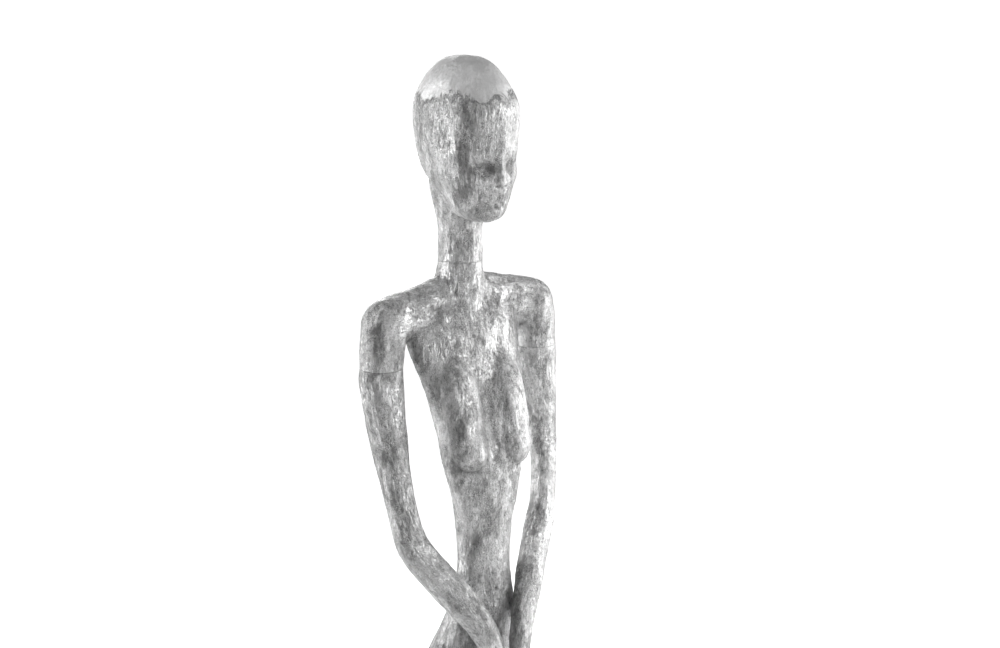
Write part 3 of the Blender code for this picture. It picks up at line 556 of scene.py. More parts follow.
# ---------------------------------------------------------------- seams between the pieces


def open_seam(mesh, height, away, reach_of, grid):
    """Cuts the skin at a level and removes what is beyond it, among the points where reach_of is true.

    away is the side of the seam that stays: 1 for above, -1 for below.
    """
    points = points_of(mesh)
    near = (np.abs(points[:, 2] - height) < 0.45 * grid) & reach_of(points)
    points[near, 2] = height
    set_points(mesh, points)
    bm = bmesh.new()
    bm.from_mesh(mesh)
    marked = reach_of(points)
    faces = [f for f in bm.faces if all(marked[v.index] for v in f.verts)]
    parts = set(faces) | {e for f in faces for e in f.edges} | {v for f in faces for v in f.verts}
    bmesh.ops.bisect_plane(bm, geom=list(parts), dist=1e-6, plane_co=(0, 0, height), plane_no=(0, 0, 1))
    gone = []
    for f in bm.faces:
        middle = f.calc_center_median()
        if (middle.z - height) * away < 0 and reach_of(np.array([middle]))[0]:
            gone.append(f)
    bmesh.ops.delete(bm, geom=gone, context="FACES")
    bm.to_mesh(mesh)
    bm.free()


def close_seam(mesh, height, away, centre, pocket):
    """Gives an open seam a rounded rim, a flat ring and the recess that holds the joint's plates."""
    wide, deep, reach = pocket
    face = height + away * HALF_GAP
    bm = bmesh.new()
    bm.from_mesh(mesh)
    ends = [e for e in bm.edges if e.is_boundary and all(abs(v.co.z - height) < 1e-5 for v in e.verts)
            and abs(e.verts[0].co.x - centre[0]) < wide * 2.2]
    middle = Vector((centre[0], centre[1], 0))
    bevel = RIM * 0.3
    rings = {}
    for v in {v for e in ends for v in e.verts}:
        flat = Vector((v.co.x, v.co.y, 0)) - middle
        inward = -flat.normalized()
        angle = math.atan2(flat.y / deep, flat.x / wide)
        seat = middle + Vector((wide * math.cos(angle), deep * math.sin(angle), 0))
        rim = v.co + inward * RIM
        steps = [(v.co.x + inward.x * bevel, v.co.y + inward.y * bevel, face + away * bevel),
                 (rim.x, rim.y, face), (seat.x, seat.y, face), (seat.x, seat.y, height + away * reach)]
        rings[v] = [v] + [bm.verts.new(step, v) for step in steps]
        v.co.z = face + away * RIM
    hub = bm.verts.new((middle.x, middle.y, height + away * reach))
    for e in ends:
        a, b = rings[e.verts[0]], rings[e.verts[1]]
        for k in range(len(a) - 1):
            bm.faces.new((a[k], b[k], b[k + 1], a[k + 1]))
        bm.faces.new((a[-1], b[-1], hub))
    bmesh.ops.recalc_face_normals(bm, faces=bm.faces)
    bm.to_mesh(mesh)
    bm.free()


def make_seams(mesh, seams, grid):
    """Opens every seam of a piece, and then closes each."""
    for height, away, reach_of, _, _ in seams:
        open_seam(mesh, height, away, reach_of, grid)
    for height, away, _, centre, pocket in seams:
        close_seam(mesh, height, away, centre, pocket)


# ---------------------------------------------------------------- the silver pieces


def show(name, mesh, body, look, stands_for, angle=38):
    """Puts a finished mesh in the scene as a piece that stands for CAD nodes."""
    mesh.materials.clear()
    mesh.materials.append(look)
    mesh.shade_smooth()
    mesh.set_sharp_from_angle(angle=math.radians(angle))
    piece = new_object(name, mesh)
    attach(piece, body)
    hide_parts(*stands_for)


def show_silver(name, mesh, look, node, body="standing_figure"):
    show(name, mesh, body, look, [node])


def world_grain(points):
    return points.copy()


def make_head(look):
    mesh = fused("head_skin", build_head, HEAD_GRID, 8)
    seams = [(NECK.z, 1, everywhere, (NECK.x, NECK.y), NECK_POCKET)]
    finish_form(mesh, lambda p: carve_neck(carve_face(p)), world_grain, seams, 0.8, crown=True)
    make_seams(mesh, seams, HEAD_GRID)
    show_silver("silver_head", mesh, look, "head_shell", "head")


def make_torso(look):
    mesh = fused("torso_skin", build_body, BODY_GRID, 9)
    seams = [(NECK.z, -1, everywhere, (NECK.x, NECK.y), NECK_POCKET),
             (HIP_SEAM, 1, everywhere, HIP_CENTRE, HIP_POCKET)]
    for side, reach_of in ((-1, right_arm_side), (1, left_arm_side)):
        seams.append((SHOULDER.z, 1, reach_of, (side * SHOULDER.x, SHOULDER.y), ARM_POCKET))
    finish_form(mesh, lambda p: carve_neck(carve_torso(p)), world_grain, seams)
    make_seams(mesh, seams, BODY_GRID)
    show_silver("silver_torso", mesh, look, "torso_shell")


def make_legs(look):
    whole = fused("legs_skin", build_legs, BODY_GRID, 7)
    seams = [(HIP_SEAM, -1, everywhere, HIP_CENTRE, HIP_POCKET),
             (THIGH_SEAM, 1, left_leg_side, THIGH_CENTRE, THIGH_POCKET)]
    finish_form(whole, carve_legs, world_grain, seams)
    points = points_of(whole)
    points[:, 2] = np.maximum(points[:, 2], SOLE)
    set_points(whole, points)

    left = whole.copy()
    open_seam(left, THIGH_SEAM, -1, everywhere, BODY_GRID)
    bm = bmesh.new()
    bm.from_mesh(left)
    other = [f for f in bm.faces if f.calc_center_median().x < 0]
    bmesh.ops.delete(bm, geom=other, context="FACES")
    bm.to_mesh(left)
    bm.free()
    close_seam(left, THIGH_SEAM, -1, THIGH_CENTRE, THIGH_POCKET)
    show_silver("silver_left_leg", left, look, "left_leg")

    make_seams(whole, seams, BODY_GRID)
    show_silver("silver_hips_and_right_leg", whole, look, "pelvis_and_right_leg")


def sided(mesh, carve, side, name):
    """The mesh and its carving for one side of the figure. Both are made for the right side, -1."""
    copy = mesh.copy()
    if side < 0:
        return copy, carve
    copy.name = name
    copy.transform(Matrix.Diagonal((-1, 1, 1, 1)))
    copy.flip_normals()
    return copy, lambda p: carve(p * (-1, 1, 1)) * (-1, 1, 1)


def make_arms_and_hands(look):
    arm = fused("arm_skin", build_right_arm, ARM_GRID, 5)
    hand = fused("hand_skin", build_right_hand, HAND_GRID, 4)
    for word, side in (("right", -1), ("left", 1)):
        wrist = (side * WRIST.x, WRIST.y)
        seams = [(SHOULDER.z, -1, everywhere, (side * SHOULDER.x, SHOULDER.y), ARM_POCKET),
                 (WRIST.z, 1, everywhere, wrist, WRIST_POCKET)]
        mesh, carve = sided(arm, carve_arm, side, "left_arm_skin")
        finish_form(mesh, carve, lambda p: arm_grain(p, side), seams, 0.9)
        make_seams(mesh, seams, ARM_GRID)
        show_silver(f"silver_{word}_arm", mesh, look, f"{word}_arm", f"{word}_arm_body")

        seams = [(WRIST.z, -1, everywhere, wrist, WRIST_POCKET)]
        mesh, carve = sided(hand, carve_hand, side, "left_hand_skin")
        finish_form(mesh, carve, world_grain, seams, 0.4)
        make_seams(mesh, seams, HAND_GRID)
        show_silver(f"silver_{word}_hand", mesh, look, f"{word}_hand", f"{word}_hand_body")


# ---------------------------------------------------------------- base, rod and fasteners


def bridge(bm, rings, steps):
    """Joins each ring to the next with faces. A ring of one point closes to a tip."""
    for lower, upper in zip(rings, rings[1:]):
        for i in range(steps):
            j = (i + 1) % steps
            corners = [lower[i % len(lower)], lower[j % len(lower)],
                       upper[j % len(upper)], upper[i % len(upper)]]
            bm.faces.new(list(dict.fromkeys(corners)))
    bmesh.ops.recalc_face_normals(bm, faces=bm.faces)


def circle(steps, radius):
    """Angles round a circle, or one angle for a point on the axis."""
    return [2 * math.pi * i / steps for i in range(steps if radius else 1)]


def turned(name, centre, profile, steps=96):
    """A turned mesh. The profile runs from the bottom, out, up and back, as (radius, height)."""
    bm = bmesh.new()
    rings = []
    for radius, height in profile:
        rings.append([bm.verts.new((radius * math.cos(t), radius * math.sin(t), height))
                      for t in circle(steps, radius)])
    bridge(bm, rings + ([] if len(rings[0]) == 1 else [rings[0]]), steps)
    bmesh.ops.translate(bm, vec=(centre[0], centre[1], 0), verts=bm.verts)
    return mesh_from(bm, name)


def rounded(radius, low, high, edge):
    """Outline of a disc with rounded edges, from the axis at the bottom to the axis at the top."""
    steps = 4
    turns = [math.pi / 2 * i / steps for i in range(steps + 1)]
    lower = [(radius - edge + edge * math.sin(t), low + edge - edge * math.cos(t)) for t in turns]
    upper = [(radius - edge + edge * math.cos(t), high - edge + edge * math.sin(t)) for t in turns]
    return [(0.0, low)] + lower + upper + [(0.0, high)]


def show_steel(name, mesh, look, node, angle=38):
    show(name, mesh, "standing_figure", look, [node], angle)


def make_base(steel, rubber):
    plate = turned("base_plate_skin", (0, 0), rounded(BASE_HIGH.x, BASE_LOW.z, BASE_HIGH.z, EDGE), 256)
    show_steel("steel_base_plate", plate, steel, "base_plate", angle=60)
    for i in range(1, 5):
        low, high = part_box(f"base_pad_{i}")
        middle = (low + high) / 2
        radius = (high.x - low.x) / 2
        groove = radius - 0.0007
        outline = [(0.0, low.z), (radius - 0.0012, low.z), (radius - 0.0003, low.z + 0.0004),
                   (radius, low.z + 0.001), (radius, high.z - 0.0022), (groove, high.z - 0.0019),
                   (groove, high.z - 0.0011), (radius, high.z - 0.0008), (radius, high.z), (0.0, high.z)]
        pad = turned(f"pad_skin_{i}", middle, outline, 64)
        show(f"rubber_pad_{i}", pad, "standing_figure", rubber, [f"base_pad_{i}"])


def make_flange_and_rod(steel):
    """A turned flange with a boss and a fillet at its root, and the rod that stands in it."""
    low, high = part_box("rod_flange")
    rod_low, rod_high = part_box("support_rod")
    rod_radius = (rod_high.x - rod_low.x) / 2
    bore = rod_radius + 0.0003
    radius, boss, bend = (high.x - low.x) / 2, 0.0105, 0.0035
    top = low.z + 0.005
    outline = [(bore, low.z), (radius - 0.0006, low.z), (radius, low.z + 0.0006), (radius, top - 0.0012),
               (radius - 0.0004, top - 0.0004), (radius - 0.0012, top)]
    for t in [math.pi / 2 * k / 5 for k in range(6)]:
        outline.append((boss + bend * (1 - math.sin(t)), top + bend * (1 - math.cos(t))))
    outline += [(boss, high.z - 0.001), (boss - 0.0003, high.z - 0.0003), (boss - 0.001, high.z),
                (bore + 0.0006, high.z), (bore, high.z - 0.0006)]
    show_steel("steel_rod_flange", turned("flange_skin", (low + high) / 2, outline), steel, "rod_flange")
    outline = rounded(rod_radius, rod_low.z, rod_high.z, EDGE)
    rod = turned("rod_skin", (rod_low + rod_high) / 2, outline, 48)
    show_steel("steel_support_rod", rod, steel, "support_rod")


def make_flange_screws(steel):
    """Button-head screws with a hexagon recess."""
    steps, recess, floor = 36, 0.0016, 0.0019
    for i in range(1, 4):
        low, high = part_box(f"flange_screw_{i}")
        middle = (low + high) / 2
        radius, tall = (high.x - low.x) / 2, high.z - low.z
        bm = bmesh.new()
        rings = []
        for wide, up in ((0, 0), (1, 0), (1, 0.3), (0.93, 0.6), (0.78, 0.85), (0.58, 1)):
            r, z = radius * wide, low.z + tall * up
            rings.append([bm.verts.new((r * math.cos(t), r * math.sin(t), z)) for t in circle(steps, r)])
        for depth in (0.0, 0.4, 1.0):
            ring = []
            for t in circle(steps, radius):
                flat = math.cos(math.pi / 6) / math.cos((t % (math.pi / 3)) - math.pi / 6)
                r = radius * 0.46 * flat * (1 - 0.03 * (depth > 0))
                ring.append(bm.verts.new((r * math.cos(t), r * math.sin(t), high.z - recess * depth)))
            rings.append(ring)
        rings.append([bm.verts.new((0, 0, high.z - floor))])
        bridge(bm, rings, steps)
        bmesh.ops.translate(bm, vec=(middle.x, middle.y, 0), verts=bm.verts)
        show_steel(f"steel_flange_screw_{i}", mesh_from(bm, f"screw_skin_{i}"), steel, f"flange_screw_{i}")


def make_thumb_screw(steel):
    """A stem and a head with straight knurling, lying along Y behind the boss."""
    low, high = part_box("rod_thumb_screw")
    middle = (low + high) / 2
    radius, stem, steps = (high.x - low.x) / 2, 0.0025, 96
    chamfer, knurl_depth = 0.0008, 0.00028
    head = high.y - 0.009
    outline = [(0.0, low.y), (stem, low.y), (stem, head), (radius - chamfer, head), (radius, head + chamfer),
               (radius, high.y - chamfer), (radius - chamfer, high.y), (radius * 0.55, high.y),
               (radius * 0.48, high.y - chamfer), (0.0, high.y - chamfer)]
    bm = bmesh.new()
    rings = []
    for r, y in outline:
        knurl = knurl_depth if r == radius else 0.0
        ring = []
        for k, t in enumerate(circle(steps, r)):
            width = r - (knurl if k % 4 in (1, 2) else 0.0)
            ring.append(bm.verts.new((middle.x + width * math.cos(t), y, middle.z + width * math.sin(t))))
        rings.append(ring)
    bridge(bm, rings, steps)
    show_steel("steel_thumb_screw", mesh_from(bm, "thumb_screw_skin"), steel, "rod_thumb_screw")


# ---------------------------------------------------------------- node helpers


def put(tree, kind, inputs=None, **settings):
    """Adds a shader node. Each named or numbered input gets a value, or a link from a socket."""
    made = tree.nodes.new(kind)
    for key, value in settings.items():
        setattr(made, key, value)
    for key, value in (inputs or {}).items():
        if isinstance(value, bpy.types.NodeSocket):
            tree.links.new(value, made.inputs[key])
        else:
            made.inputs[key].default_value = value
    return made


def maths(tree, operation, a, b=0.0, clamp=False):
    return put(tree, "ShaderNodeMath", {0: a, 1: b}, operation=operation, use_clamp=clamp).outputs[0]


def times(tree, a, b):
    return maths(tree, "MULTIPLY", a, b)


def plus(tree, a, b, clamp=False):
    return maths(tree, "ADD", a, b, clamp)


def minus(tree, a, b, clamp=False):
    return maths(tree, "SUBTRACT", a, b, clamp)


def spread(tree, value, low, high, to_low=0.0, to_high=1.0):
    """Maps low..high smoothly to to_low..to_high, and holds it there."""
    limits = {"From Min": low, "From Max": high, "To Min": to_low, "To Max": to_high}
    return put(tree, "ShaderNodeMapRange", {"Value": value, **limits},
               interpolation_type="SMOOTHSTEP").outputs["Result"]


def ramp(tree, value, low, high):
    """Maps low..high to 0..1 in a straight line. Low may be the larger."""
    limits = {"From Min": low, "From Max": high}
    return put(tree, "ShaderNodeMapRange", {"Value": value, **limits}).outputs["Result"]


def blend_colour(tree, share, a, b):
    return put(tree, "ShaderNodeMix", {0: share, 6: a, 7: b}, data_type="RGBA").outputs[2]


def layered(tree, base, *layers):
    """Lays colours over base, one after another. A layer is (mask, its largest share, colour)."""
    for mask, share, colour in layers:
        base = blend_colour(tree, times(tree, mask, share), base, colour)
    return base


def summed(tree, total, *terms):
    """Adds each mask times its share to a total."""
    for mask, share in terms:
        total = plus(tree, total, times(tree, mask, share))
    return total


def between(tree, share, a, b):
    return put(tree, "ShaderNodeMix", {0: share, 2: a, 3: b}).outputs[0]


def stretched(tree, vector, scale):
    return put(tree, "ShaderNodeVectorMath", {0: vector, 1: scale}, operation="MULTIPLY").outputs[0]


def noise_of(tree, vector, scale, detail=3.0, rough=0.5, warp=0.0):
    return put(tree, "ShaderNodeTexNoise", {"Vector": vector, "Scale": scale, "Detail": detail,
                                            "Roughness": rough, "Distortion": warp}).outputs["Fac"]


def ripple(tree, height, *noise_settings):
    """Noise about zero, as tall as height from its lowest to its highest."""
    return times(tree, minus(tree, noise_of(tree, *noise_settings), 0.5), height)


def new_group(name, takes, gives):
    """An empty effect with named inputs, as (name, kind, default), and named outputs, as (name, kind)."""
    group = bpy.data.node_groups.new(name, "ShaderNodeTree")
    for label, kind, value in takes:
        made = group.interface.new_socket(label, in_out="INPUT", socket_type=kind)
        if value is not None:
            made.default_value = value
    for label, kind in gives:
        group.interface.new_socket(label, in_out="OUTPUT", socket_type=kind)
    return group, group.nodes.new("NodeGroupInput").outputs, group.nodes.new("NodeGroupOutput").inputs


def use(tree, name, inputs):
    """Places one of the shared effects in a tree, and gives its outputs."""
    return put(tree, "ShaderNodeGroup", inputs, node_tree=GROUPS[name]).outputs


FLOAT, VECTOR = "NodeSocketFloat", "NodeSocketVector"


def leaf_sheets():
    """Torn sheets of metal leaf: a tone for each sheet, and the thin laps where they meet."""
    g, takes, gives = new_group("leaf_sheets", [("Vector", VECTOR, None), ("Scale", FLOAT, 20.0)],
                                [("Tone", FLOAT), ("Lap", FLOAT)])
    ragged = put(g, "ShaderNodeTexNoise", {"Vector": takes["Vector"], "Scale": 90.0, "Detail": 3.0})
    shift = put(g, "ShaderNodeVectorMath", {0: ragged.outputs["Color"], "Scale": 0.016}, operation="SCALE")
    torn = put(g, "ShaderNodeVectorMath", {0: takes["Vector"], 1: shift.outputs[0]}, operation="ADD")
    cells = put(g, "ShaderNodeTexVoronoi", {"Vector": torn.outputs[0], "Scale": takes["Scale"]})
    edges = put(g, "ShaderNodeTexVoronoi", {"Vector": torn.outputs[0], "Scale": takes["Scale"]},
                feature="DISTANCE_TO_EDGE")
    tone = put(g, "ShaderNodeSeparateColor", {"Color": cells.outputs["Color"]})
    g.links.new(tone.outputs[0], gives["Tone"])
    g.links.new(spread(g, edges.outputs["Distance"], 0.0, 0.05, 1.0, 0.0), gives["Lap"])
    return g


def tarnish():
    """Blotches that gather at two sizes, with a crisp, crumbling edge."""
    settings = [("Vector", VECTOR, None), ("Scale", FLOAT, 30.0), ("Amount", FLOAT, 0.5)]
    g, takes, gives = new_group("tarnish", settings, [("Mask", FLOAT)])
    broad = noise_of(g, takes["Vector"], takes["Scale"], 4.0, 0.62, 0.6)
    small = noise_of(g, takes["Vector"], times(g, takes["Scale"], 5.5), 5.0, 0.68, 0.3)
    both = plus(g, times(g, broad, 0.62), times(g, small, 0.38))
    edge = minus(g, 0.72, times(g, takes["Amount"], 0.4))
    high = plus(g, edge, 0.1)
    g.links.new(ramp(g, both, edge, high), gives["Mask"])
    return g


def tool_grain():
    """Long fine strokes that run along the third axis."""
    g, takes, gives = new_group("tool_grain", [("Vector", VECTOR, None), ("Fineness", FLOAT, 1.0)],
                                [("Stroke", FLOAT), ("Line", FLOAT)])
    drawn = put(g, "ShaderNodeVectorMath", {0: takes["Vector"], "Scale": takes["Fineness"]},
                operation="SCALE").outputs[0]
    strokes = noise_of(g, stretched(g, drawn, (210.0, 210.0, 44.0)), 1.0, 4.0, 0.62, 0.8)
    lines = noise_of(g, stretched(g, drawn, (480.0, 480.0, 90.0)), 1.0, 2.0, 0.5, 0.4)
    g.links.new(spread(g, strokes, 0.32, 0.68), gives["Stroke"])
    g.links.new(spread(g, lines, 0.4, 0.72), gives["Line"])
    return g


def crumple():
    """Thin wavy folds that cross one another."""
    settings = [("Vector", VECTOR, None), ("Scale", FLOAT, 150.0)]
    g, takes, gives = new_group("crumple", settings, [("Fold", FLOAT)])
    waves = noise_of(g, takes["Vector"], takes["Scale"], 3.0, 0.55, 2.2)
    away = maths(g, "ABSOLUTE", minus(g, waves, 0.5))
    g.links.new(spread(g, away, 0.0, 0.045, 1.0, 0.0), gives["Fold"])
    return g


def edge_wear():
    """Where a piece is rubbed on its edges, and a mask of its hollows, which the looks make darker."""
    g, takes, gives = new_group("edge_wear", [("Vector", VECTOR, None), ("Sharpness", FLOAT, 0.03)],
                                [("Worn", FLOAT), ("Hollows", FLOAT)])
    point = put(g, "ShaderNodeNewGeometry").outputs["Pointiness"]
    level = plus(g, point, ripple(g, 0.03, takes["Vector"], 120.0, 3.0))
    ridge, hollow = 0.508, 0.492
    high = plus(g, ridge, takes["Sharpness"])
    low = minus(g, hollow, takes["Sharpness"])
    g.links.new(ramp(g, level, ridge, high), gives["Worn"])
    g.links.new(ramp(g, level, hollow, low), gives["Hollows"])
    return g


def new_look(name, metallic, roughness, colour):
    look = bpy.data.materials.new(name)
    look.use_nodes = True
    look.diffuse_color = (*colour, 1.0)
    shader = look.node_tree.nodes["Principled BSDF"]
    shader.inputs["Metallic"].default_value = metallic
    shader.inputs["Roughness"].default_value = roughness
    shader.inputs["Base Color"].default_value = (*colour, 1.0)
    return look, look.node_tree, shader


def bumped(tree, shader, height, distance):
    made = put(tree, "ShaderNodeBump", {"Height": height, "Distance": distance, "Strength": 1.0})
    tree.links.new(made.outputs["Normal"], shader.inputs["Normal"])


def place_of(tree):
    return put(tree, "ShaderNodeTexCoord").outputs["Object"]


def attribute(tree, name, output="Fac"):
    return put(tree, "ShaderNodeAttribute", attribute_name=name).outputs[output]


def grey(level, warm=0.0):
    return (level * (1 + warm), level, level * (1 - warm), 1.0)


def silver_leaf_look():
    look, tree, shader = new_look("tarnished_silver_leaf", 0.86, 0.45, (0.55, 0.55, 0.545))
    place = place_of(tree)
    grain = attribute(tree, "grain", "Vector")
    recess = attribute(tree, "recess")
    seam = attribute(tree, "seam")
    lay = attribute(tree, "lay")

    # strokes run along the limb, and over the shoulders they run across
    turned_grain = put(tree, "ShaderNodeVectorRotate", {"Vector": grain, "Angle": math.pi / 2},
                       rotation_type="Y_AXIS").outputs[0]
    along = use(tree, "tool_grain", {"Vector": grain, "Fineness": 1.0})
    across = use(tree, "tool_grain", {"Vector": turned_grain, "Fineness": 0.9})
    stroke = between(tree, lay, along["Stroke"], across["Stroke"])
    line = between(tree, lay, along["Line"], across["Line"])

    # sheets of leaf, with tarnish, rubbed bright patches and crumpled patches over them
    sheets = use(tree, "leaf_sheets", {"Vector": stretched(tree, grain, (1.0, 1.0, 0.6)), "Scale": 34.0})
    drawn = stretched(tree, grain, (1.0, 1.0, 0.5))
    blotch = use(tree, "tarnish", {"Vector": drawn, "Scale": 30.0, "Amount": 0.6})["Mask"]
    fleck = use(tree, "tarnish", {"Vector": drawn, "Scale": 130.0, "Amount": 0.46})["Mask"]
    shifted = put(tree, "ShaderNodeVectorMath", {0: drawn, 1: (3.1, 1.7, 5.3)}, operation="ADD").outputs[0]
    bright = use(tree, "tarnish", {"Vector": shifted, "Scale": 44.0, "Amount": 0.62})["Mask"]
    fold = use(tree, "crumple", {"Vector": place, "Scale": 185.0})["Fold"]
    crumpled = spread(tree, noise_of(tree, place, 26.0, 3.0, 0.6), 0.42, 0.58)
    fold = times(tree, fold, crumpled)
    pores = spread(tree, noise_of(tree, stretched(tree, grain, (1.0, 1.0, 0.7)), 480.0, 4.0, 0.7), 0.54, 0.64)
    wear = use(tree, "edge_wear", {"Vector": place, "Sharpness": 0.035})

    # the smooth crown, with a ragged sooty border
    ragged = plus(tree, attribute(tree, "crown"), ripple(tree, 2.0, place, 27.0, 7.0, 0.68, 1.0))
    crown = spread(tree, ragged, 0.5, 0.66)
    border = times(tree, spread(tree, ragged, 0.3, 0.52), minus(tree, 1.0, crown))
    plain = minus(tree, 1.0, times(tree, crown, 0.75))

    # carved hollows get painted shade, darkest where carved deepest, added to the tarnish blotches; the light
    # patches stay clear of both
    deep = spread(tree, plus(tree, recess, ripple(tree, 1.6, place, 110.0, 5.0, 0.7)), 0.15, 0.95)
    deep = times(tree, deep, spread(tree, recess, 0.04, 0.2))
    tarnish_and_hollow_shade = maths(tree, "MAXIMUM", blotch, times(tree, fleck, 0.85))
    tarnish_and_hollow_shade = plus(tree, times(tree, tarnish_and_hollow_shade, plain), times(tree, deep, 0.8), clamp=True)
    gleam = times(tree, bright, minus(tree, plain, times(tree, tarnish_and_hollow_shade, 0.6), clamp=True))

    worn = times(tree, wear["Worn"], minus(tree, 1.0, seam))
    base = blend_colour(tree, sheets["Tone"], grey(0.37), grey(0.58))
    # the grey(0.17) layer is the tarnish blotches and, in the carved hollows, painted shade
    base = layered(tree, base, (stroke, 0.3, grey(0.8)), (gleam, 0.7, grey(0.92)),
                   (tarnish_and_hollow_shade, 0.74, grey(0.17, 0.005)), (line, 0.22, grey(0.2)),
                   (times(tree, pores, plain), 0.62, grey(0.1)),
                   (times(tree, fold, plain), 0.78, grey(0.94)),
                   (worn, 0.65, grey(0.94)), (wear["Hollows"], 0.75, grey(0.09, 0.01)),
                   (crown, 0.62, grey(0.76)), (border, 0.6, grey(0.13)), (seam, 0.12, grey(0.22)))
    tree.links.new(base, shader.inputs["Base Color"])

    rough = summed(tree, 0.38, (tarnish_and_hollow_shade, 0.2), (crown, 0.16), (gleam, -0.08))
    tree.links.new(rough, shader.inputs["Roughness"])

    height = summed(tree, times(tree, stroke, 0.38), (line, 0.16), (fold, 0.45), (fleck, 0.18),
                    (sheets["Lap"], 0.15), (pores, -0.28))
    bumped(tree, shader, times(tree, height, plain), 0.0016)
    return look


def steel_look(name, level, centre=None):
    """Brushed steel. With a centre, the brushing runs in circles round it; without one it runs round Z."""
    look, tree, shader = new_look(name, 1.0, 0.32, (level, level, level * 1.01))
    place = place_of(tree)
    middle = centre or (0.0, 0.0, 0.0)
    offset = put(tree, "ShaderNodeVectorMath", {0: place, 1: middle}, operation="SUBTRACT").outputs[0]
    parts = put(tree, "ShaderNodeSeparateXYZ", {0: offset})
    x, y, z = (parts.outputs[k] for k in range(3))
    radius = maths(tree, "SQRT", plus(tree, times(tree, x, x), times(tree, y, y)))
    turn = maths(tree, "ARCTAN2", y, x)
    ring = put(tree, "ShaderNodeCombineXYZ", {0: times(tree, radius, 4.0), 1: times(tree, z, 4.0),
                                             2: times(tree, turn, 0.05)}).outputs[0]
    brushing = use(tree, "tool_grain", {"Vector": ring, "Fineness": 1.6})
    stain = use(tree, "tarnish", {"Vector": place, "Scale": 18.0, "Amount": 0.3})["Mask"]
    wear = use(tree, "edge_wear", {"Vector": place, "Sharpness": 0.05})
    base = blend_colour(tree, times(tree, brushing["Stroke"], 0.35), grey(level), grey(level * 1.25))
    base = layered(tree, base, (stain, 0.35, grey(level * 0.55, 0.02)),
                   (wear["Worn"], 0.6, grey(min(level * 1.45, 0.92))),
                   (wear["Hollows"], 0.5, grey(level * 0.35, 0.03)))
    tree.links.new(base, shader.inputs["Base Color"])
    tree.links.new(summed(tree, 0.34, (brushing["Line"], 0.14), (stain, 0.12)), shader.inputs["Roughness"])
    bumped(tree, shader, plus(tree, brushing["Stroke"], brushing["Line"]), 0.00006)
    return look


def zinc_look():
    look, tree, shader = new_look("zinc_plating", 1.0, 0.42, (0.55, 0.56, 0.57))
    place = place_of(tree)
    spangle = use(tree, "leaf_sheets", {"Vector": place, "Scale": 240.0})
    wear = use(tree, "edge_wear", {"Vector": place, "Sharpness": 0.04})
    stain = use(tree, "tarnish", {"Vector": place, "Scale": 60.0, "Amount": 0.35})["Mask"]
    base = blend_colour(tree, spangle["Tone"], (0.46, 0.47, 0.48, 1), (0.62, 0.63, 0.65, 1))
    base = layered(tree, base, (stain, 0.5, (0.3, 0.29, 0.27, 1)), (wear["Worn"], 0.6, (0.75, 0.75, 0.76, 1)))
    tree.links.new(base, shader.inputs["Base Color"])
    tree.links.new(summed(tree, 0.34, (spangle["Tone"], 0.16)), shader.inputs["Roughness"])
    bumped(tree, shader, plus(tree, spangle["Lap"], stain), 0.00005)
    return look


def rubber_look():
    look, tree, shader = new_look("pad_rubber", 0.0, 0.8, (0.03, 0.03, 0.03))
    place = place_of(tree)
    stain = use(tree, "tarnish", {"Vector": place, "Scale": 80.0, "Amount": 0.45})["Mask"]
    wear = use(tree, "edge_wear", {"Vector": place, "Sharpness": 0.05})
    base = blend_colour(tree, times(tree, stain, 0.6), grey(0.022), grey(0.06, 0.05))
    base = layered(tree, base, (wear["Worn"], 0.5, grey(0.1, 0.03)))
    tree.links.new(base, shader.inputs["Base Color"])
    tree.links.new(summed(tree, 0.62, (stain, 0.22)), shader.inputs["Roughness"])
    bumped(tree, shader, noise_of(tree, place, 1400.0, 3.0), 0.00012)
    return look


# ---------------------------------------------------------------- studio


def aim(obj, target):
    obj.rotation_mode = "QUATERNION"
    obj.rotation_quaternion = (Vector(target) - obj.location).to_track_quat("-Z", "Y")


def soft_light(name, azimuth, distance, height, width, tall, watts):
    """A soft box aimed at the chest. Azimuth 0 is in front of the figure, and 90 at its left side."""
    lamp = bpy.data.lights.new(name, "AREA")
    lamp.shape = "RECTANGLE"
    lamp.size, lamp.size_y = width, tall
    lamp.energy = watts
    made = bpy.data.objects.new(name, lamp)
    bpy.context.scene.collection.objects.link(made)
    turn = math.radians(azimuth)
    made.location = (distance * math.sin(turn), -distance * math.cos(turn), height)
    aim(made, CHEST)


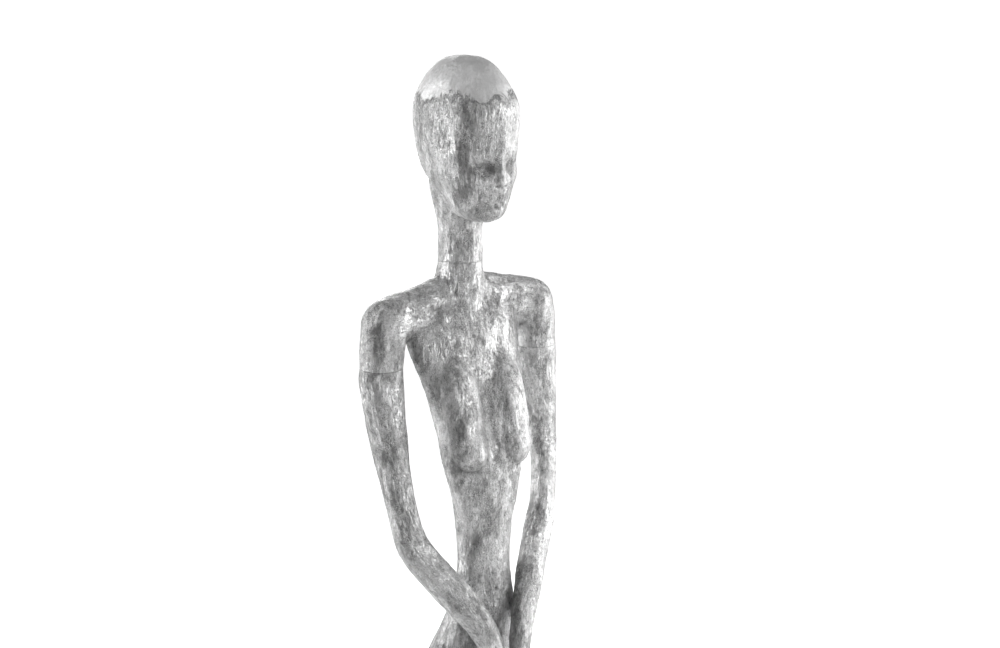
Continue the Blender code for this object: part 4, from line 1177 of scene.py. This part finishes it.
def make_studio():
    bm = bmesh.new()
    bmesh.ops.create_circle(bm, cap_ends=True, segments=128, radius=40.0)
    floor = new_object("studio_floor", mesh_from(bm, "studio_floor"))
    look, tree, shader = new_look("pale_floor", 0.0, 0.75, (0.86, 0.86, 0.86))
    tone = noise_of(tree, place_of(tree), 0.6, 2.0)
    tree.links.new(blend_colour(tree, tone, grey(0.84), grey(0.88)), shader.inputs["Base Color"])
    shader.inputs["Emission Color"].default_value = (1, 1, 1, 1)
    seen = put(tree, "ShaderNodeLightPath").outputs["Is Camera Ray"]
    tree.links.new(spread(tree, seen, 0.0, 1.0, 0.1, 0.95), shader.inputs["Emission Strength"])
    floor.data.materials.append(look)

    world = bpy.data.worlds.new("studio_air")
    world.use_nodes = True
    tree = world.node_tree
    tree.nodes.clear()
    seen = put(tree, "ShaderNodeBackground", {"Color": grey(1.0), "Strength": 1.0})
    around = put(tree, "ShaderNodeBackground", {"Color": grey(0.2), "Strength": 1.0})
    which = put(tree, "ShaderNodeLightPath").outputs["Is Camera Ray"]
    mixed = put(tree, "ShaderNodeMixShader", {0: which, 1: around.outputs[0], 2: seen.outputs[0]})
    out = tree.nodes.new("ShaderNodeOutputWorld")
    tree.links.new(mixed.outputs[0], out.inputs["Surface"])
    bpy.context.scene.world = world

    soft_light("key_box", 44, 3.2, 1.75, 1.5, 2.8, 74)
    soft_light("side_box", 90, 3.4, 1.6, 1.2, 2.8, 58)
    soft_light("back_right_strip", -142, 3.0, 1.6, 0.9, 2.8, 76)
    soft_light("back_left_strip", 156, 3.4, 1.8, 1.0, 2.6, 40)
    soft_light("top_box", -60, 0.8, 4.2, 2.2, 2.2, 22)


def make_camera():
    """Looks down on the upper body from the figure's right front."""
    turn, lift, away = math.radians(35), math.radians(13.2), 4.5
    target = Vector((0.0475, 0.0017, 1.4617))
    lens = bpy.data.cameras.new("camera")
    lens.sensor_width = 36
    lens.lens = 115.7
    lens.dof.use_dof = False
    camera = bpy.data.objects.new("camera", lens)
    bpy.context.scene.collection.objects.link(camera)
    back = Vector((-math.sin(turn) * math.cos(lift), -math.cos(turn) * math.cos(lift), math.sin(lift)))
    camera.location = target + away * back
    aim(camera, target)
    bpy.context.scene.camera = camera


# ---------------------------------------------------------------- the whole figure

GROUPS = {g.name: g for g in (leaf_sheets(), tarnish(), tool_grain(), crumple(), edge_wear())}
silver = silver_leaf_look()
rod_low, rod_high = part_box("support_rod")
rod_middle = (rod_low + rod_high) / 2
# the base plate's steel is the rod's steel painted darker, a painted shade that keeps the plate from reading
# white in the bright studio
base_steel = steel_look("brushed_steel_painted_darker", 0.3)
rod_steel = steel_look("brushed_rod_steel", 0.48, (rod_middle.x, rod_middle.y, 0))
zinc = zinc_look()
rubber = rubber_look()

make_head(silver)
make_torso(silver)
make_legs(silver)
make_arms_and_hands(silver)
make_base(base_steel, rubber)
make_flange_and_rod(rod_steel)
make_flange_screws(rod_steel)
make_thumb_screw(rod_steel)

for name, node in frame["nodes"].items():
    if node.hide_render:
        continue
    node.data.materials.clear()
    node.data.materials.append(rod_steel if name == "calf_socket" else zinc)

make_studio()
make_camera()
bpy.context.scene.view_settings.view_transform = "Standard"
